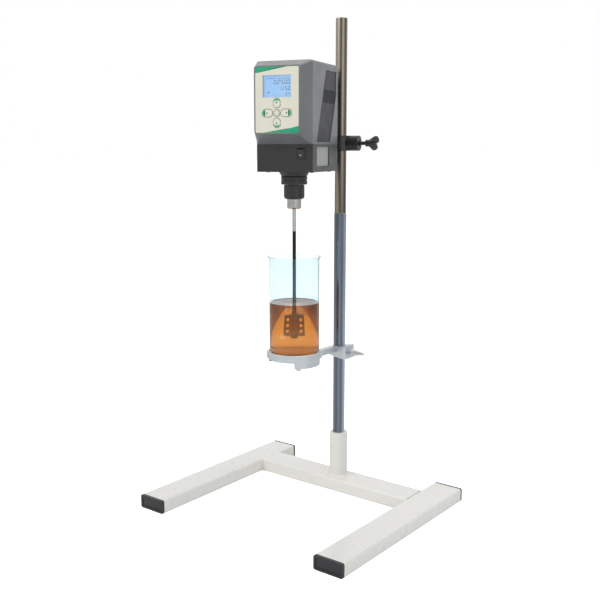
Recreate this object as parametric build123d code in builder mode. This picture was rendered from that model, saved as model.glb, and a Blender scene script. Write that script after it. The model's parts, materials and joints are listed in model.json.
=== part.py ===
from build123d import *
import os
from math import acos, asin, cos, degrees, pi, radians, sin, sqrt, tan

os.makedirs("parts", exist_ok=True)

# Overhead stirrer on an H stand, with a support ring and a beaker under it.
# Millimetres. Z is up and the floor is at 0. The origin is on the floor, on the axis of the rod.
# The legs of the stand run along Y, with their long ends at -Y, where the operator stands.

# Clearances
sliding_fit = 0.08          # radial, a bore that slides or turns on its shaft
part_gap = 0.1              # between two pieces that are put together by hand
screw_gap = 0.1             # radial, round the shank of a screw
running_gap = 0.3           # between faces that turn past each other

# Stand
base_width = 368
leg_reach_front = 249       # from the rod to the front end of a leg, with its cap
leg_reach_back = 65
tube_width = 46
tube_height = 20
tube_wall = 2
tube_corner = 3
cap_plate = 4
cap_plug_depth = 14
cap_recess = 0.8
cap_border = 3.5
socket_diameter = 28
socket_height = 70.5
weld_bead = 3
set_screw_diameter = 6
set_screw_below_top = 14
set_screw_key = 3

# Rod, in two lengths screwed together end to end
lower_rod_diameter = 18
upper_rod_diameter = 17
lower_rod_length = 412.5
upper_rod_length = 282.5
rod_chamfer = 1.2
stud_diameter = 8
stud_engagement = 20

# Axis of the chuck, and the arm that passes the rod in the head clamp
axis_reach = 112            # from the rod to the axis of the chuck
clamp_offset = 30           # between the rod and the arm where they cross
arm_diameter = 13
arm_overhang = 29           # how far the arm stands out behind the rod
arm_chamfer = 1
arm_boss_diameter = 20       # boss inside the rear panel, in which the arm ends
arm_boss_depth = 4
arm_boss_floor = 1
arm_boss_to_plate = 0.4
arm_flange_diameter = 38
arm_flange_thickness = 6
flange_screw_circle = 28
flange_screw_diameter = 4
flange_screw_head = 7
flange_screw_head_height = 2.6
flange_screw_inside = 2     # how far it stands out inside the rear panel

# Head
seam_level = 534            # where the upper cover meets the lower case
arm_rise = 2                # the arm above that seam
lower_case_height = 37.5
upper_case_height = 110
case_width = 82
case_front = 34             # from the axis of the chuck to the front of the lower case
case_back = 62.5
case_wall = 3
case_corner = 4
side_frame_thickness = 1.5
side_window_front = 18
side_window_length = 47
side_window_height = 27
side_window_below_seam = 3
rear_panel_thickness = 3
bezel_depth = 25
bezel_side_inset = 8
bezel_top_inset = 8.5
bezel_bottom_inset = 13
bezel_lip = 4
bezel_front_wall = 3
bezel_lip_wall = 2
fascia_thickness = 1
fascia_border = 1.2

# Display and keys
window_width = 41
window_over_keys = 0.6      # between the window and the flange of the upper key
window_from_face_top = 12.4
display_margin = 2
board_gap = 6               # between the front wall of the bezel and the control board
board_thickness = 1.6
board_margin = 2
board_post_diameter = 5
key_group_above_face_bottom = 27.3
key_long = 14.8
key_short = 9.4
key_reach = 13.6            # from the centre key to the middle of a side key
key_reach_upright = 12.9    # the same, to the upper and lower keys
key_upright_long = 12
centre_key_diameter = 8.6
key_proud = 0.9
key_travel = 0.8
key_clearance = 0.25
key_flange = 0.8
key_flange_thickness = 0.8
key_switch_diameter = 4

# Vent panel in each side of the upper cover
vent_slope = 0.35           # how far its ends lean back for each unit of height
vent_bottom_margin = 3
vent_top_margin = 10
vent_front_at_bottom = 19   # ahead of the axis of the chuck
vent_length_at_bottom = 52
vent_back_margin = 6.5
vent_recess = 0.8
vent_flange = 2
vent_flange_thickness = 1
vent_slot_count = 11
vent_slot_width = 2.2
vent_slot_pitch = 4.3
vent_slot_height = 18
vent_slot_first = 6
vent_slot_level = 56        # bottom of the slots above the seam

# Power inlet and switch
inlet_width = 27
inlet_height = 20
inlet_depth = 16
inlet_flange = 4
inlet_flange_thickness = 2
inlet_below_top = 24
inlet_pin_width = 2
inlet_pin_height = 4
inlet_pin_pitch = 7
switch_from_side = 17.5     # from the side of the case
switch_below_seam = 12
switch_width = 10.4
switch_height = 13.3
switch_rim = 1.3
switch_proud = 1.2
switch_body_depth = 13
switch_body_wall = 0.8
switch_back_wall = 1.5
switch_pivot_depth = 3      # behind the front of the case
rocker_tilt = 9
rocker_half_height = 5.7
rocker_front = 4.2          # from the pivot to the corners of its face
rocker_dip = 3.2            # from the pivot to the middle of its face
rocker_edge = 1.2
rocker_foot = 3
rocker_gap = 0.3
rocker_pin_diameter = 2.4
rocker_pin_length = 0.6

# Drive
spindle_diameter = 12
spindle_shoulder_diameter = 17
lower_bearing_diameter = 28
lower_bearing_height = 8
upper_bearing_diameter = 24
neck_height = 6
neck_top_diameter = 43
neck_bottom_diameter = 36
cap_ring_diameter = 36.7
cap_ring_height = 11.8
cap_ring_groove = 1.2
cap_ring_bore = 15
motor_plate_thickness = 5
motor_plate_below_seam = 8
motor_plate_margin = 3
post_diameter = 8
post_to_wall = 1            # between a post and the inside of the wall
post_front = 15
post_back = 50
gear_module = 1.0
output_teeth = 42
pinion_teeth = 14
gear_thickness = 9
gear_above_floor = 6
gear_hub_diameter = 20
gear_backlash = 0.25
gear_addendum = 0.8         # both in modules
gear_dedendum = 1.1
gear_pressure_angle = 20
pinion_hub_height = 4
motor_diameter = 50
motor_boss_diameter = 19
motor_below_top = 46        # from the inside of the cover down to the motor
motor_wall = 2.5
armature_diameter = 36
armature_gap = 7.5          # inside the motor housing, above and below
motor_shaft_diameter = 6

# Chuck
chuck_gap = 0.7             # between the bearing cap and the chuck
chuck_length = 33.4         # down to the tip of the nose
sleeve_diameter = 28.9
sleeve_length = 19.5
sleeve_wall = 2.5
sleeve_round = 3
nose_diameter = 19.8
nose_chamfer = 2
chuck_bore = 7
sleeve_lip = 2
jaw_diameter = 4
jaw_tilt = 18
jaw_centre_at_tip = 3.4     # from the axis of the chuck, at the tip of the nose
jaw_length = 9.5
jaw_travel = 3
spindle_in_chuck = 9

# Stirring shaft and paddle
shaft_diameter = 5
shaft_in_chuck = 22
grip_gap = 0.05
paddle_bottom = 260
paddle_width = 23.4
paddle_height = 21.4
paddle_thickness = 2
paddle_turn = 38            # direction of the blade, from +X
paddle_hole_diameter = 3.6
paddle_hole_columns = 15.2
paddle_hole_rows = 5.7
hub_diameter = 8
hub_overhang = 2

# Beaker and the ring under it
beaker_diameter = 71.4
beaker_height = 138
beaker_wall = 1.6
beaker_floor = 2
beaker_foot_round = 6
beaker_rim_flare = 2
beaker_rim_height = 4
vessel_level = 239.6        # underside of the beaker
ring_seat_gap = 0.4
ring_wall = 1.8
ring_lip = 1.6
ring_height = 11
ring_hole_diameter = 48
ear_width = 9
ear_proud = 1.6
ear_turn = 38
pad_diameter = 5
pad_height = 5
bracket_height = 8.5
bracket_width = 5.5
bracket_end_turn = -52
arm_bar_width = 10
ring_boss_height = 20
ring_boss_small_height = 9
ring_boss_left = 16
ring_boss_right = 19.6
ring_boss_half_depth = 14
ring_boss_round = 4
ring_boss_drop = 5
ring_screw_diameter = 4
ring_screw_head = 7
ring_screw_head_height = 2.4
thumb_screw_diameter = 6
thumb_neck_diameter = 7
thumb_neck_length = 4.4
thumb_head_diameter = 11.5
thumb_head_length = 22
thumb_tip_diameter = 2.4
thumb_shoulder_length = 2
thumb_grip_share = 0.45     # of its head, where it has narrowed
thumb_grip_diameter = 7.6

# Head clamp
clamp_eye_diameter = 30
clamp_height = 22
clamp_arm_eye_length = 26
clamp_web = 18
clamp_screw_boss_length = 20
clamp_screw_diameter = 8
clamp_neck_diameter = 5.6
clamp_neck_length = 10.5
wing_length = 18.6
wing_span = 22
wing_thickness = 5
wing_lobe_diameter = 10
wing_hub_diameter = 10
wing_turn = 35

# Levels and places that follow from the sizes above
rod_foot = tube_height
rod_joint = rod_foot + lower_rod_length
rod_top = rod_joint + upper_rod_length
arm_level = seam_level + arm_rise
case_bottom = seam_level - lower_case_height
case_top = seam_level + upper_case_height
floor_top = case_bottom + case_wall
inner_half = case_width / 2 - case_wall
neck_bottom = case_bottom - neck_height
cap_ring_bottom = neck_bottom - cap_ring_height
chuck_top = cap_ring_bottom - chuck_gap
nose_tip = chuck_top - chuck_length
sleeve_bottom = chuck_top - sleeve_length
face_front = case_front + bezel_depth
face_bottom = seam_level + bezel_bottom_inset
face_top = case_top - bezel_top_inset
face_width = case_width - 2 * bezel_side_inset
face_height = face_top - face_bottom
face_middle = (face_top + face_bottom) / 2
face_back = face_front - bezel_front_wall
key_level = face_bottom + key_group_above_face_bottom
upper_key_top = key_level + key_reach_upright + key_upright_long / 2 + key_flange
window_bottom = upper_key_top + window_over_keys
window_top = face_top - window_from_face_top
window_height = window_top - window_bottom
window_level = (window_top + window_bottom) / 2
arm_turn = degrees(asin(clamp_offset / axis_reach))
rod_back = sqrt(axis_reach ** 2 - clamp_offset ** 2)
lower_rod_radius = lower_rod_diameter / 2
upper_rod_radius = upper_rod_diameter / 2
spindle_radius = spindle_diameter / 2
shaft_radius = shaft_diameter / 2

# Frames of the head: x to its right, y to its back, z up, from the axis of the chuck
right = Vector(cos(radians(arm_turn)), sin(radians(arm_turn)), 0)
back = Vector(-sin(radians(arm_turn)), cos(radians(arm_turn)), 0)
up = Vector(0, 0, 1)
chuck_axis = Vector(0, -axis_reach, 0)


def head_point(x, y, z):
    return chuck_axis + right * x + back * y + up * z


def level(z, x=0.0, y=0.0):
    """Flat plane of the head, with local x to its right."""
    return Plane(origin=head_point(x, y, z), x_dir=right, z_dir=up)


def facing(y):
    """Upright plane of the head that faces the operator: local x to the right, local y up."""
    return Plane(origin=head_point(0, y, 0), x_dir=right, z_dir=-back)


def flank(x):
    """Upright plane of the head along its side: local x to the back, local y up."""
    return Plane(origin=head_point(x, 0, 0), x_dir=back, z_dir=right)


# Stand: two legs and a cross tube of the same rectangular tube
def tube_section():
    """Cross-section of the tube."""
    RectangleRounded(tube_width, tube_height, tube_corner)
    inner_corner = tube_corner - tube_wall / 2
    inner_width = tube_width - 2 * tube_wall
    RectangleRounded(inner_width, tube_height - 2 * tube_wall, inner_corner, mode=Mode.SUBTRACT)


leg_centre = base_width / 2 - tube_width / 2
tube_front = -(leg_reach_front - cap_plate)
tube_back = leg_reach_back - cap_plate


def end_plane(x, y, outward):
    """Upright plane across a leg at one end, facing out of it."""
    return Plane(origin=(x, y, tube_height / 2), x_dir=(-outward, 0, 0), z_dir=(0, outward, 0))


with BuildPart() as left_leg_tube:
    with BuildSketch(end_plane(-leg_centre, tube_front, -1)):
        tube_section()
    extrude(amount=tube_front - tube_back)
left_leg_tube.part.label = "left_leg_tube"
export_step(left_leg_tube.part, "parts/left_leg_tube.step")

with BuildPart() as right_leg_tube:
    with BuildSketch(end_plane(leg_centre, tube_front, -1)):
        tube_section()
    extrude(amount=tube_front - tube_back)
right_leg_tube.part.label = "right_leg_tube"
export_step(right_leg_tube.part, "parts/right_leg_tube.step")

cross_length = 2 * (leg_centre - tube_width / 2)
with BuildPart() as cross_tube:
    with BuildSketch(Plane.YZ.offset(-cross_length / 2)):
        with Locations((0, tube_height / 2)):
            tube_section()
    extrude(amount=cross_length)
cross_tube.part.label = "cross_tube"
export_step(cross_tube.part, "parts/cross_tube.step")

plug_width = tube_width - 2 * tube_wall - 2 * part_gap
plug_height = tube_height - 2 * tube_wall - 2 * part_gap
for name, x, y, outward in (
    ("front_left_cap", -leg_centre, tube_front, -1),
    ("front_right_cap", leg_centre, tube_front, -1),
    ("back_left_cap", -leg_centre, tube_back, 1),
    ("back_right_cap", leg_centre, tube_back, 1),
):
    with BuildPart() as end_cap:
        with BuildSketch(end_plane(x, y, outward)):
            RectangleRounded(tube_width, tube_height, tube_corner)
        extrude(amount=cap_plate)
        with BuildSketch(end_plane(x, y + outward * cap_plate, outward)):
            recess_width = tube_width - 2 * cap_border
            RectangleRounded(recess_width, tube_height - 2 * cap_border, tube_corner - 1)
        extrude(amount=-cap_recess, mode=Mode.SUBTRACT)
        with BuildSketch(end_plane(x, y, outward)):
            RectangleRounded(plug_width, plug_height, tube_corner - tube_wall / 2)
            inner_width = plug_width - 2 * tube_wall
            RectangleRounded(inner_width, plug_height - 2 * tube_wall, 1, mode=Mode.SUBTRACT)
        extrude(amount=-cap_plug_depth)
    end_cap.part.label = name
    export_step(end_cap.part, f"parts/{name}.step")

# Welded socket that holds the rod, with its bead of weld and a set screw at the back
socket_top = tube_height + socket_height
set_screw_level = socket_top - set_screw_below_top
with BuildPart() as post_socket:
    with BuildSketch(Plane.XZ):
        with BuildLine():
            Polyline(
                (lower_rod_radius + sliding_fit, tube_height),
                (socket_diameter / 2 + weld_bead, tube_height),
                (socket_diameter / 2, tube_height + weld_bead),
                (socket_diameter / 2, socket_top - 1),
                (socket_diameter / 2 - 1, socket_top),
                (lower_rod_radius + sliding_fit, socket_top),
                close=True,
            )
        make_face()
    revolve(axis=Axis.Z)
    with BuildSketch(Plane.XZ):
        with Locations((0, set_screw_level)):
            Circle(set_screw_diameter / 2 + screw_gap)
    extrude(amount=-socket_diameter, mode=Mode.SUBTRACT)
post_socket.part.label = "post_socket"
export_step(post_socket.part, "parts/post_socket.step")

set_screw_tip = lower_rod_radius + sliding_fit
set_screw_end = socket_diameter / 2 + 0.5
with BuildPart() as socket_set_screw:
    with BuildSketch(Plane.XZ.offset(-set_screw_tip)):
        with Locations((0, set_screw_level)):
            Circle(set_screw_diameter / 2)
    extrude(amount=set_screw_tip - set_screw_end)
    with BuildSketch(Plane.XZ.offset(-set_screw_end)):
        with Locations((0, set_screw_level)):
            RegularPolygon(set_screw_key / 2, 6)
    extrude(amount=set_screw_key, mode=Mode.SUBTRACT)
socket_set_screw.part.label = "socket_set_screw"
export_step(socket_set_screw.part, "parts/socket_set_screw.step")

# Rod
with BuildPart() as lower_rod:
    with BuildSketch(Plane.XY.offset(rod_foot)):
        Circle(lower_rod_radius)
    extrude(amount=lower_rod_length)
    chamfer(lower_rod.edges().filter_by(GeomType.CIRCLE), rod_chamfer / 2)
    with BuildSketch(Plane.XY.offset(rod_joint)):
        Circle(stud_diameter / 2 + sliding_fit)
    extrude(amount=-(stud_engagement + part_gap), mode=Mode.SUBTRACT)
lower_rod.part.label = "lower_rod"
export_step(lower_rod.part, "parts/lower_rod.step")

with BuildPart() as upper_rod:
    with BuildSketch(Plane.XY.offset(rod_joint)):
        Circle(upper_rod_radius)
    extrude(amount=upper_rod_length)
    fillet(upper_rod.edges().filter_by(GeomType.CIRCLE).sort_by(Axis.Z)[-1], rod_chamfer)
    with BuildSketch(Plane.XY.offset(rod_joint)):
        Circle(stud_diameter / 2 + sliding_fit)
    extrude(amount=stud_engagement + part_gap, mode=Mode.SUBTRACT)
upper_rod.part.label = "upper_rod"
export_step(upper_rod.part, "parts/upper_rod.step")

with BuildPart() as joining_stud:
    with BuildSketch(Plane.XY.offset(rod_joint - stud_engagement)):
        Circle(stud_diameter / 2)
    extrude(amount=2 * stud_engagement)
    chamfer(joining_stud.edges().filter_by(GeomType.CIRCLE), rod_chamfer / 2)
joining_stud.part.label = "joining_stud"
export_step(joining_stud.part, "parts/joining_stud.step")

# Support ring: its bracket reaches round under the front of the ring and back to the rod
ring_inner = beaker_diameter / 2 + ring_seat_gap
ring_outer = ring_inner + ring_wall
ring_top = vessel_level + ring_lip
ring_bottom = ring_top - ring_height
bracket_bottom = ring_bottom - bracket_height
bracket_outer = ring_outer - 1
bracket_middle = bracket_outer - bracket_width / 2
boss_middle = bracket_bottom + bracket_height / 2 - ring_boss_drop
bar_start = lower_rod_radius + 1
bar_end = axis_reach - bracket_middle
screw_turns = (bracket_end_turn + 10, 80)

with BuildPart() as ring_arm:
    with BuildSketch(Plane.XZ.offset(-ring_boss_half_depth)):
        with BuildLine():
            Polyline(
                (-ring_boss_left, boss_middle - ring_boss_small_height / 2),
                (ring_boss_right, boss_middle - ring_boss_height / 2),
                (ring_boss_right, boss_middle + ring_boss_height / 2),
                (-ring_boss_left, boss_middle + ring_boss_small_height / 2),
                close=True,
            )
        make_face()
    extrude(amount=2 * ring_boss_half_depth)
    fillet(ring_arm.edges().filter_by(Axis.Z), ring_boss_round)
    with BuildSketch(Plane.XY.offset(bracket_bottom)):
        with Locations((0, -(bar_start + bar_end) / 2)):
            Rectangle(arm_bar_width, bar_end - bar_start)
        with BuildLine():
            arc_size = 90 - bracket_end_turn
            outer_arc = CenterArc((0, -axis_reach), bracket_outer, bracket_end_turn, arc_size)
            inner_radius = bracket_outer - bracket_width
            inner_arc = CenterArc((0, -axis_reach), inner_radius, bracket_end_turn, arc_size)
            Line(outer_arc @ 0, inner_arc @ 0)
            Line(outer_arc @ 1, inner_arc @ 1)
        make_face()
    extrude(amount=bracket_height)
    with BuildSketch(Plane.XY):
        Circle(lower_rod_radius + sliding_fit)
    extrude(amount=rod_joint, mode=Mode.SUBTRACT)
    with BuildSketch(Plane.YZ):
        with Locations((0, boss_middle)):
            Circle(thumb_screw_diameter / 2 + screw_gap)
    extrude(amount=ring_boss_right + 1, mode=Mode.SUBTRACT)
    with BuildSketch(Plane.XY.offset(bracket_bottom)):
        with Locations((0, -axis_reach)):
            for turn in screw_turns:
                with PolarLocations(bracket_middle, 1, turn):
                    Circle(ring_screw_diameter / 2 + screw_gap)
    extrude(amount=bracket_height, mode=Mode.SUBTRACT)
ring_arm.part.label = "ring_arm"
export_step(ring_arm.part, "parts/ring_arm.step")

with BuildPart() as support_ring:
    with BuildSketch(Plane.XY.offset(ring_bottom)):
        with Locations((0, -axis_reach)):
            Circle(ring_outer)
            for turn in (ear_turn, ear_turn + 180):
                with PolarLocations(ring_outer + ear_proud - 2, 1, turn):
                    Rectangle(4, ear_width)
    extrude(amount=ring_height)
    chamfer(support_ring.edges().group_by(Axis.Z)[-1], 0.5)
    with BuildSketch(Plane.XY.offset(vessel_level - part_gap)):
        with Locations((0, -axis_reach)):
            Circle(ring_inner)
    extrude(amount=ring_height, mode=Mode.SUBTRACT)
    with BuildSketch(Plane.XY.offset(ring_bottom)):
        with Locations((0, -axis_reach)):
            Circle(ring_hole_diameter / 2)
    extrude(amount=ring_height, mode=Mode.SUBTRACT)
    with BuildSketch(Plane.XY.offset(ring_bottom)):
        with Locations((0, -axis_reach)):
            for turn in screw_turns:
                with PolarLocations(bracket_middle, 1, turn):
                    Circle(ring_screw_diameter / 2 + screw_gap)
    extrude(amount=6, mode=Mode.SUBTRACT)
support_ring.part.label = "support_ring"
export_step(support_ring.part, "parts/support_ring.step")

with BuildPart() as ring_screws:
    with BuildSketch(Plane.XY.offset(bracket_bottom)):
        with Locations((0, -axis_reach)):
            for turn in screw_turns:
                with PolarLocations(bracket_middle, 1, turn):
                    Circle(ring_screw_diameter / 2)
    extrude(amount=bracket_height + 5)
    with BuildSketch(Plane.XY.offset(bracket_bottom)):
        with Locations((0, -axis_reach)):
            for turn in screw_turns:
                with PolarLocations(bracket_middle, 1, turn):
                    Circle(ring_screw_head / 2)
    extrude(amount=-ring_screw_head_height)
ring_screws.part.label = "ring_screws"
export_step(ring_screws.part, "parts/ring_screws.step")

with BuildPart() as ring_pad:
    with BuildSketch(Plane.XY.offset(ring_bottom)):
        with Locations((0, -axis_reach)):
            with PolarLocations(bracket_middle, 1, ear_turn + 180):
                Circle(pad_diameter / 2)
    extrude(amount=-pad_height)
    chamfer(ring_pad.edges().group_by(Axis.Z)[0], 0.8)
ring_pad.part.label = "ring_pad"
export_step(ring_pad.part, "parts/ring_pad.step")

with BuildPart() as ring_thumb_screw:
    with BuildSketch(Plane.XY.offset(boss_middle)):
        with BuildLine():
            neck_start = ring_boss_right + running_gap
            neck_end = neck_start + thumb_neck_length
            tip = neck_end + thumb_head_length
            shank_end = Line((lower_rod_radius + sliding_fit, 0), (lower_rod_radius + sliding_fit, 3))
            Line(shank_end @ 1, (neck_start, thumb_screw_diameter / 2))
            Line((neck_start, thumb_screw_diameter / 2), (neck_start, thumb_neck_diameter / 2))
            Line((neck_start, thumb_neck_diameter / 2), (neck_end, thumb_neck_diameter / 2))
            grip = Polyline(
                (neck_end, thumb_neck_diameter / 2),
                (neck_end + thumb_shoulder_length, thumb_head_diameter / 2),
                (neck_end + thumb_head_length * thumb_grip_share, thumb_grip_diameter / 2),
                (tip, thumb_tip_diameter / 2),
            )
            Line(grip @ 1, (tip, 0))
            Line((tip, 0), shank_end @ 0)
        make_face()
    revolve(axis=Axis((0, 0, boss_middle), (1, 0, 0)))
ring_thumb_screw.part.label = "ring_thumb_screw"
export_step(ring_thumb_screw.part, "parts/ring_thumb_screw.step")

# Beaker
beaker_radius = beaker_diameter / 2
beaker_top = vessel_level + beaker_height
flare_bottom = beaker_top - beaker_rim_height


def beaker_profile(radius, low, rim):
    """Half of the upright section of the beaker, or of the space inside it."""
    outline = ((0, low), (radius, low), (radius, flare_bottom), (rim, beaker_top), (0, beaker_top))
    Polygon(*outline, align=None)


chuck_line = Axis((0, -axis_reach, 0), (0, 0, 1))
inner_floor = vessel_level + beaker_floor
with BuildPart() as beaker:
    with BuildSketch(Plane.XZ.offset(axis_reach)):
        beaker_profile(beaker_radius, vessel_level, beaker_radius + beaker_rim_flare)
    revolve(axis=chuck_line)
    fillet(beaker.edges().group_by(Axis.Z)[0], beaker_foot_round)
    with BuildSketch(Plane.XZ.offset(axis_reach)):
        inner_radius = beaker_radius - beaker_wall
        beaker_profile(inner_radius, inner_floor, inner_radius + beaker_rim_flare)
    revolve(axis=chuck_line, mode=Mode.SUBTRACT)
    inner_edge = beaker.edges().filter_by_position(Axis.Z, inner_floor - 0.01, inner_floor + 0.01)
    fillet(inner_edge, beaker_foot_round - beaker_wall)
beaker.part.label = "beaker"
export_step(beaker.part, "parts/beaker.step")


# Head clamp: two crossed eyes joined by a web, each with a wing screw
clamp_bottom = arm_level - clamp_height / 2
eye_radius = clamp_eye_diameter / 2
arm_eye_front = rod_back - clamp_arm_eye_length / 2
rod_screw_end = clamp_offset + lower_rod_radius + clamp_screw_boss_length
arm_screw_end = -(eye_radius + 2)

with BuildPart() as boss_head:
    with BuildSketch(facing(arm_eye_front)):
        with Locations((0, arm_level)):
            Circle(clamp_height / 2 + 2)
    extrude(amount=-clamp_arm_eye_length)
    with BuildSketch(level(clamp_bottom, clamp_offset, rod_back)):
        Circle(eye_radius)
    extrude(amount=clamp_height)
    with BuildSketch(level(clamp_bottom, clamp_offset / 2, rod_back)):
        Rectangle(clamp_offset, clamp_web)
    extrude(amount=clamp_height)
    with BuildSketch(flank(clamp_offset)):
        with Locations((rod_back, arm_level)):
            Circle(clamp_height / 2)
    extrude(amount=rod_screw_end - clamp_offset)
    with BuildSketch(flank(0)):
        with Locations((rod_back, arm_level)):
            Circle(clamp_height / 2 - 2)
    extrude(amount=arm_screw_end)
    with BuildSketch(level(clamp_bottom - 1, clamp_offset, rod_back)):
        Circle(upper_rod_radius + sliding_fit)
    extrude(amount=clamp_height + 2, mode=Mode.SUBTRACT)
    with BuildSketch(facing(arm_eye_front - 1)):
        with Locations((0, arm_level)):
            Circle(arm_diameter / 2 + sliding_fit)
    extrude(amount=-(clamp_arm_eye_length + 2), mode=Mode.SUBTRACT)
    with BuildSketch(flank(clamp_offset)):
        with Locations((rod_back, arm_level)):
            Circle(clamp_screw_diameter / 2 + screw_gap)
    extrude(amount=rod_screw_end - clamp_offset + 1, mode=Mode.SUBTRACT)
    with BuildSketch(flank(0)):
        with Locations((rod_back, arm_level)):
            Circle(clamp_screw_diameter / 2 + screw_gap)
    extrude(amount=arm_screw_end - 1, mode=Mode.SUBTRACT)
boss_head.part.label = "boss_head"
export_step(boss_head.part, "parts/boss_head.step")


def wing_plane(x, outward, turn):
    """Plane along a clamp screw: local x points out of the clamp, local y along the wings."""
    lean = back * sin(radians(turn)) + up * cos(radians(turn))
    out = right * outward
    return Plane(origin=head_point(x, rod_back, arm_level), x_dir=out, z_dir=out.cross(lean))


for name, tip_x, end_x, outward, turn in (
    ("rod_clamp_screw", clamp_offset + upper_rod_radius + sliding_fit, rod_screw_end, 1, wing_turn),
    ("arm_clamp_screw", -(arm_diameter / 2 + sliding_fit), arm_screw_end, -1, -wing_turn),
):
    shank = abs(end_x - tip_x) - 1
    neck = clamp_neck_length + 1
    wing_start = shank + neck
    with BuildPart() as clamp_screw:
        with BuildSketch(flank(tip_x)):
            with Locations((rod_back, arm_level)):
                Circle(clamp_screw_diameter / 2)
        extrude(amount=outward * shank)
        with BuildSketch(flank(tip_x)):
            with Locations((rod_back, arm_level)):
                Circle(clamp_neck_diameter / 2)
        extrude(amount=outward * (wing_start + 2))
        with BuildSketch(flank(tip_x + outward * wing_start)):
            with Locations((rod_back, arm_level)):
                Circle(wing_hub_diameter / 2)
        extrude(amount=outward * wing_length * 0.55)
        with BuildSketch(wing_plane(tip_x, outward, turn)):
            lobe = wing_lobe_diameter / 2
            lobe_x = wing_start + wing_length - lobe
            lobe_y = wing_span / 2 - lobe
            with Locations((lobe_x, lobe_y), (lobe_x, -lobe_y)):
                Circle(lobe)
            Polygon(
                (wing_start, 0),
                (lobe_x - lobe * 0.7, lobe_y + lobe * 0.7),
                (lobe_x + lobe * 0.5, lobe_y - lobe * 0.8),
                (wing_start + wing_length * 0.5, 0),
                (lobe_x + lobe * 0.5, -lobe_y + lobe * 0.8),
                (lobe_x - lobe * 0.7, -lobe_y - lobe * 0.7),
                align=None,
            )
        extrude(amount=wing_thickness / 2, both=True)
    clamp_screw.part.label = name
    export_step(clamp_screw.part, f"parts/{name}.step")

# Arm that carries the head; it ends in a blind boss of the rear panel
panel_inside = case_back - rear_panel_thickness
arm_start = panel_inside - arm_boss_depth + arm_boss_floor
arm_end = rod_back + arm_overhang
with BuildPart() as mounting_arm:
    with BuildSketch(facing(arm_start)):
        with Locations((0, arm_level)):
            Circle(arm_diameter / 2)
    extrude(amount=-(arm_end - arm_start))
    chamfer(mounting_arm.edges().filter_by(GeomType.CIRCLE), arm_chamfer)
mounting_arm.part.label = "mounting_arm"
export_step(mounting_arm.part, "parts/mounting_arm.step")

with BuildPart() as arm_flange:
    with BuildSketch(facing(case_back)):
        with Locations((0, arm_level)):
            Circle(arm_flange_diameter / 2)
            Circle(arm_diameter / 2 + sliding_fit, mode=Mode.SUBTRACT)
            with PolarLocations(flange_screw_circle / 2, 4, 45):
                Circle(flange_screw_diameter / 2 + screw_gap, mode=Mode.SUBTRACT)
    extrude(amount=-arm_flange_thickness)
    chamfer(arm_flange.edges().group_by(SortBy.LENGTH)[-1].sort_by(Axis.Y)[-1], 1)
arm_flange.part.label = "arm_flange"
export_step(arm_flange.part, "parts/arm_flange.step")

with BuildPart() as flange_screws:
    with BuildSketch(facing(panel_inside - flange_screw_inside)):
        with Locations((0, arm_level)):
            with PolarLocations(flange_screw_circle / 2, 4, 45):
                Circle(flange_screw_diameter / 2)
    extrude(amount=-(flange_screw_inside + rear_panel_thickness + arm_flange_thickness))
    with BuildSketch(facing(case_back + arm_flange_thickness)):
        with Locations((0, arm_level)):
            with PolarLocations(flange_screw_circle / 2, 4, 45):
                Circle(flange_screw_head / 2)
    extrude(amount=-flange_screw_head_height)
flange_screws.part.label = "flange_screws"
export_step(flange_screws.part, "parts/flange_screws.step")

# Rear panel, which carries the arm and the power inlet
inlet_level = case_top - inlet_below_top
with BuildPart() as rear_panel:
    with BuildSketch(facing(panel_inside)):
        low = floor_top + part_gap
        high = case_top - case_wall - part_gap
        with Locations((0, (low + high) / 2)):
            Rectangle(2 * (inner_half - part_gap), high - low)
        with Locations((0, inlet_level)):
            Rectangle(inlet_width + 2 * part_gap, inlet_height + 2 * part_gap, mode=Mode.SUBTRACT)
        with Locations((0, arm_level)):
            with PolarLocations(flange_screw_circle / 2, 4, 45):
                Circle(flange_screw_diameter / 2 + screw_gap, mode=Mode.SUBTRACT)
    extrude(amount=-rear_panel_thickness)
    with BuildSketch(facing(panel_inside)):
        with Locations((0, arm_level)):
            Circle(arm_boss_diameter / 2)
    extrude(amount=arm_boss_depth)
    with BuildSketch(facing(arm_start)):
        with Locations((0, arm_level)):
            Circle(arm_diameter / 2 + sliding_fit)
    extrude(amount=-(case_back - arm_start), mode=Mode.SUBTRACT)
rear_panel.part.label = "rear_panel"
export_step(rear_panel.part, "parts/rear_panel.step")

with BuildPart() as power_inlet:
    with BuildSketch(facing(case_back + inlet_flange_thickness)):
        with Locations((0, inlet_level)):
            RectangleRounded(inlet_width + 2 * inlet_flange, inlet_height + 2 * inlet_flange, 3)
    extrude(amount=inlet_flange_thickness)
    with BuildSketch(facing(case_back)):
        with Locations((0, inlet_level)):
            Rectangle(inlet_width, inlet_height)
    extrude(amount=inlet_depth)
    with BuildSketch(facing(case_back + inlet_flange_thickness)):
        with Locations((0, inlet_level)):
            RectangleRounded(inlet_width - 4, inlet_height - 4, 2)
    extrude(amount=inlet_depth - 2, mode=Mode.SUBTRACT)
    with BuildSketch(facing(case_back - inlet_depth)):
        with Locations((0, inlet_level)):
            with Locations((-inlet_pin_pitch, -2), (0, 2), (inlet_pin_pitch, -2)):
                Rectangle(inlet_pin_width, inlet_pin_height)
    extrude(amount=-(inlet_depth - 3))
power_inlet.part.label = "power_inlet"
export_step(power_inlet.part, "parts/power_inlet.step")


# Upper cover with a leaning vent panel let into each side
vent_bottom = seam_level + vent_bottom_margin
vent_top = case_top - vent_top_margin
vent_back = case_back - vent_back_margin
vent_back_low = -vent_front_at_bottom + vent_length_at_bottom
vent_bend = vent_bottom + (vent_back - vent_back_low) / vent_slope


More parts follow.
